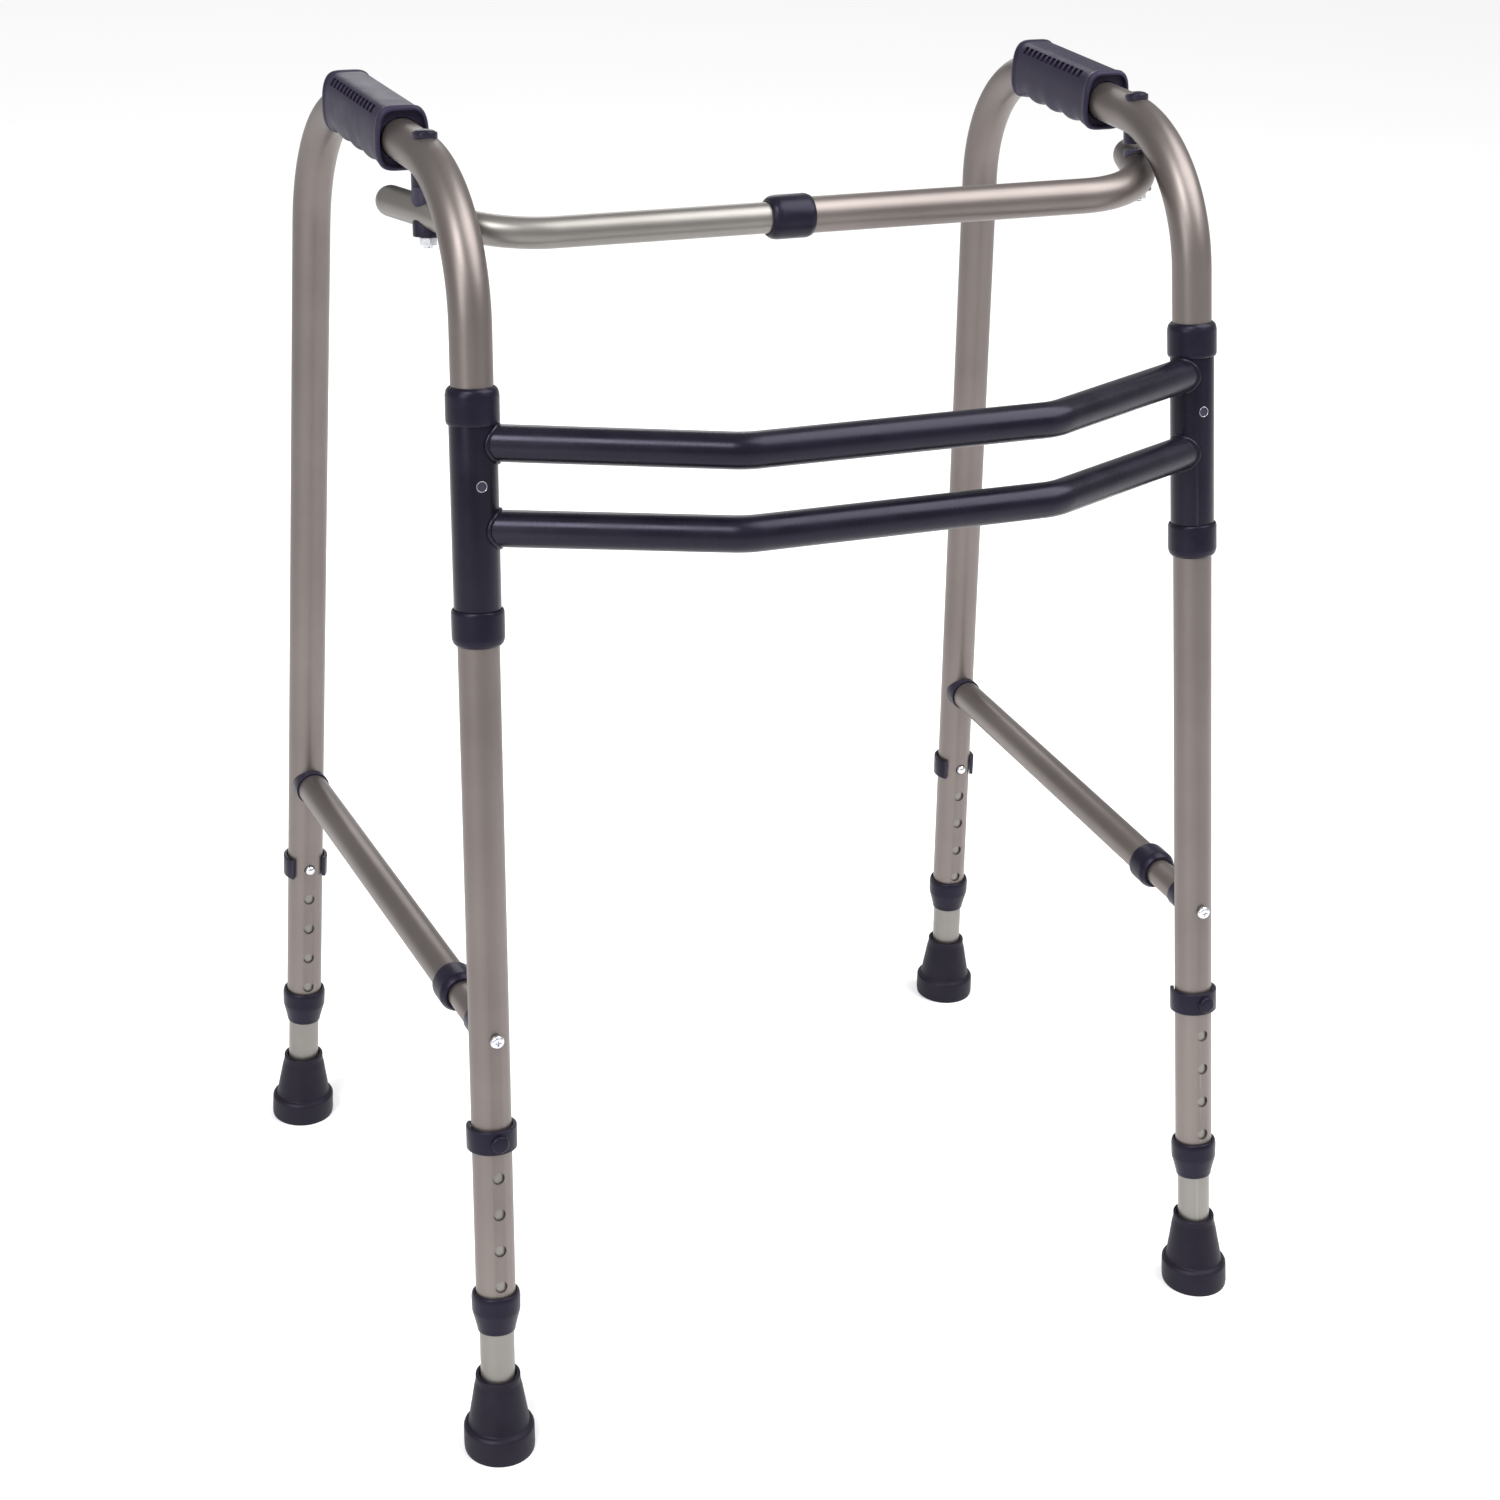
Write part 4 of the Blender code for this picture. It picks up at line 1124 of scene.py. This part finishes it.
def crossbar():
    """The two sleeves, the two bowed rails between them, and the weld beads."""
    for side in SIDES:
        sleeve(side)
    for name, rail in RAILS.items():
        x, y, z = rail["corner"]
        corners = [
            leg_point("left", "front", rail["end_z"]),
            Vector((x, y, z)),
            Vector((-x, y, z)),
            leg_point("right", "front", rail["end_z"]),
        ]
        line = rounded_path(corners, RAIL_BEND, RAIL_BEND_STEPS)
        piece = stand_in(name, swept_tube(line, RAIL_R, RAIL_BORE))
        for side, start, bend in (("left", corners[0], corners[1]), ("right", corners[3], corners[2])):
            cut(piece, rod(leg_frame(side, "front"), SLEEVE_R + 2 * GAP, *RAIL_CUT, CUTTER_SIDES))
            weld_bead(f"{side}_{name}_weld", start, bend, side)


# ---------------------------------------------------------------- top bar
def pivot(side, bar_radius, closed):
    """The bar's pivot: cap, bolt, nut and three saddles, about one axis."""
    place = pivot_frame(side)
    split = pivot_height(side, SADDLE_SPLIT_Z)
    swivel_top = split - (GAP if closed else OPEN_PIVOT_GAP)
    bar = pivot_height(side, BAR_Z)
    bore = BOLT_R + GAP
    head = TUBE_R + BOLT_HEAD_LIFT
    recess = BOLT_HEAD_R + GAP
    under = TUBE_R - CAP_DEPTH
    ceiling = head + BOLT_HEAD_HEIGHT + GAP / 2
    rim = TUBE_R + CAP_RIM_HEIGHT
    crown_r = CAP_R - CAP_RIM_WIDTH
    crown = rim + CAP_CROWN_BASE
    cap = [(0, ceiling), (recess, ceiling), (recess, under), (CAP_R, under), (CAP_R, rim)]
    cap += [(CAP_R - CAP_RIM_RIDGE, rim + CAP_RIM_RIDGE), (crown_r, crown)]
    for i in range(1, CAP_CROWN_STEPS):
        turn = math.pi / 2 * i / CAP_CROWN_STEPS
        cap.append((crown_r * math.cos(turn), crown + CAP_CROWN * math.sin(turn)))
    cap.append((0, crown + CAP_CROWN))
    piece = stand_in(side + "_pivot_cap", lathe(place, cap, SMALL_SIDES, FINE_EDGE))
    tube = handle_path(side)
    cut(piece, swept_rod(tube, TUBE_R + GAP))
    upper = collar(place, SADDLE_R, bore, split, split + UPPER_SADDLE_HEIGHT, edge=0.0006)
    piece = stand_in(side + "_upper_saddle", upper)
    cut(piece, swept_rod(tube, TUBE_R + GAP))
    bar_line = bar_path(side, SIDES[side] * 0.1)
    swivel = collar(place, SADDLE_R, bore, bar + SWIVEL_SADDLE_START, swivel_top, edge=0)
    piece = stand_in(side + "_swivel_saddle", swivel)
    cut(piece, swept_rod(bar_line, bar_radius + GAP))
    nut_top = bar - bar_radius - LOWER_SADDLE_WALL
    lower = collar(place, SADDLE_R, bore, nut_top + GAP, bar - LOWER_SADDLE_END, edge=0.0008)
    piece = stand_in(side + "_lower_saddle", lower)
    cut(piece, swept_rod(bar_line, bar_radius + GAP))
    low = nut_top - NUT_HEIGHT
    bolt_end = low - BOLT_TIP if closed else split + GAP
    bolt = [(0, bolt_end), (BOLT_R, bolt_end), (BOLT_R, head), (BOLT_HEAD_R, head)]
    bolt += [(BOLT_HEAD_R, head + BOLT_HEAD_HEIGHT), (0, head + BOLT_HEAD_HEIGHT)]
    stand_in(side + "_pivot_bolt", lathe(place, bolt, SMALL_SIDES, FINE_EDGE))
    if closed:
        nut = collar(place, NUT_R, bore / math.cos(math.pi / NUT_SIDES), low, nut_top, NUT_SIDES, 0)
        piece = stand_in(side + "_pivot_nut", nut)
    else:
        piece = stand_in(side + "_pivot_nut", rod(place, NUT_R, low, nut_top, NUT_SIDES))
        cut(piece, rod(place, BOLT_R, low - BOLT_TIP, swivel_top - GAP, SMALL_SIDES), "UNION")
    soften(piece, EDGE)


def bar_half(side, name, outer, bore, end_x):
    """One half of the top bar, closed by a dome behind its pivot."""
    piece = stand_in(name, domed_tube(bar_path(side, end_x), outer, bore))
    bar = pivot_height(side, BAR_Z)
    cut(piece, rod(pivot_frame(side), BOLT_R + GAP, bar - CUT_REACH, bar + CUT_REACH, SMALL_SIDES))


def top_bar():
    """The telescopic bar: an outer and an inner tube, the collar and the guide bush."""
    bar_half("left", "bar_outer_tube", BAR_OUTER_R, BAR_OUTER_BORE, BAR_MOUTH_X)
    bar_half("right", "bar_inner_tube", BAR_INNER_R, BAR_INNER_BORE, BAR_INNER_END_X)
    line = bar_path("left", 0.0)
    place = axis_frame(line[-1], (1, 0, 0), (0, 0, 1))
    low, high = BAR_COLLAR_X
    lip = BAR_MOUTH_X - GAP
    ring = [
        (BAR_INNER_R + GAP, low),
        (BAR_COLLAR_R - 0.0022, low),
        (BAR_COLLAR_R - 0.0006, low + 0.0022),
        (BAR_COLLAR_R, low + 0.005),
        (BAR_COLLAR_R, high - 0.003),
        (BAR_COLLAR_R - 0.0012, high),
        (BAR_OUTER_R + GAP, high),
        (BAR_OUTER_R + GAP, lip),
        (BAR_INNER_R + GAP, lip),
    ]
    stand_in("bar_collar", lathe(place, ring, edge=COLLAR_EDGE))
    stand_in("bar_guide_bush", collar(place, BUSH_R, BUSH_BORE, *BUSH_X, SMALL_SIDES))


# ---------------------------------------------------------------- studio
def aim(place, target):
    """The rotation that turns a light at a place towards a point."""
    return (Vector(target) - Vector(place)).to_track_quat("-Z", "Y").to_euler()


def area_light(name, place, target, size, power):
    """A soft square light that faces a point."""
    data = bpy.data.lights.new(name, "AREA")
    data.size = size
    data.energy = power
    lamp = bpy.data.objects.new(name, data)
    lamp.location = place
    lamp.rotation_euler = aim(place, target)
    bpy.context.scene.collection.objects.link(lamp)


def floor():
    """The pale floor."""
    shape = bmesh.new()
    bmesh.ops.create_grid(shape, x_segments=1, y_segments=1, size=12.0)
    ground = link("studio_floor", shape)
    dark = (0.955, 0.955, 0.955)
    light = (0.965, 0.965, 0.965)
    paint = Nodes("studio_floor", (0.96, 0.96, 0.96), roughness=0.6)
    speck = paint.noise(paint.evenly(), scale=3.0, detail=2.0)
    paint.colour(paint.blend(speck, dark, light))
    ground.data.materials.append(paint.material)


def lights():
    """A bright surround, a broad sun and soft area lights."""
    world = bpy.data.worlds.new("studio")
    world.use_nodes = True
    background = world.node_tree.nodes["Background"]
    background.inputs["Color"].default_value = (1.0, 1.0, 1.0, 1.0)
    background.inputs["Strength"].default_value = WORLD_STRENGTH
    bpy.context.scene.world = world
    sun_data = bpy.data.lights.new("key", "SUN")
    sun_data.energy = SUN_STRENGTH
    sun_data.angle = SUN_ANGLE
    sun = bpy.data.objects.new("key", sun_data)
    sun.rotation_euler = aim(SUN_PLACE, MIDDLE)
    bpy.context.scene.collection.objects.link(sun)
    for light in SOFT_LIGHTS:
        area_light(*light)


def camera():
    """The camera at the viewing angle of the reference view."""
    camera_data = bpy.data.cameras.new("camera")
    camera_data.lens = CAMERA_LENS
    camera_data.sensor_width = CAMERA_SENSOR
    camera_data.clip_end = CAMERA_CLIP_END
    eye = bpy.data.objects.new("camera", camera_data)
    forward = Vector((math.sin(CAMERA_YAW), math.cos(CAMERA_YAW), 0)) * math.cos(CAMERA_PITCH)
    forward.z = -math.sin(CAMERA_PITCH)
    level = Vector((math.cos(CAMERA_YAW), -math.sin(CAMERA_YAW), 0))
    upright = level.cross(forward)
    right = level * math.cos(CAMERA_ROLL) + upright * math.sin(CAMERA_ROLL)
    up = upright * math.cos(CAMERA_ROLL) - level * math.sin(CAMERA_ROLL)
    eye.matrix_world = Matrix((right, up, -forward)).transposed().to_4x4()
    eye.location = CAMERA_PLACE
    bpy.context.scene.collection.objects.link(eye)
    bpy.context.scene.camera = eye
    bpy.context.scene.view_settings.view_transform = "Standard"


# ---------------------------------------------------------------- build
for side in SIDES:
    side_tube(side)
    grip(side)
    brace(side)
    for end in ENDS:
        leg(side, end)
crossbar()
pivot("right", BAR_INNER_R, closed=True)
pivot("left", BAR_OUTER_R, closed=False)
top_bar()
floor()
lights()
camera()
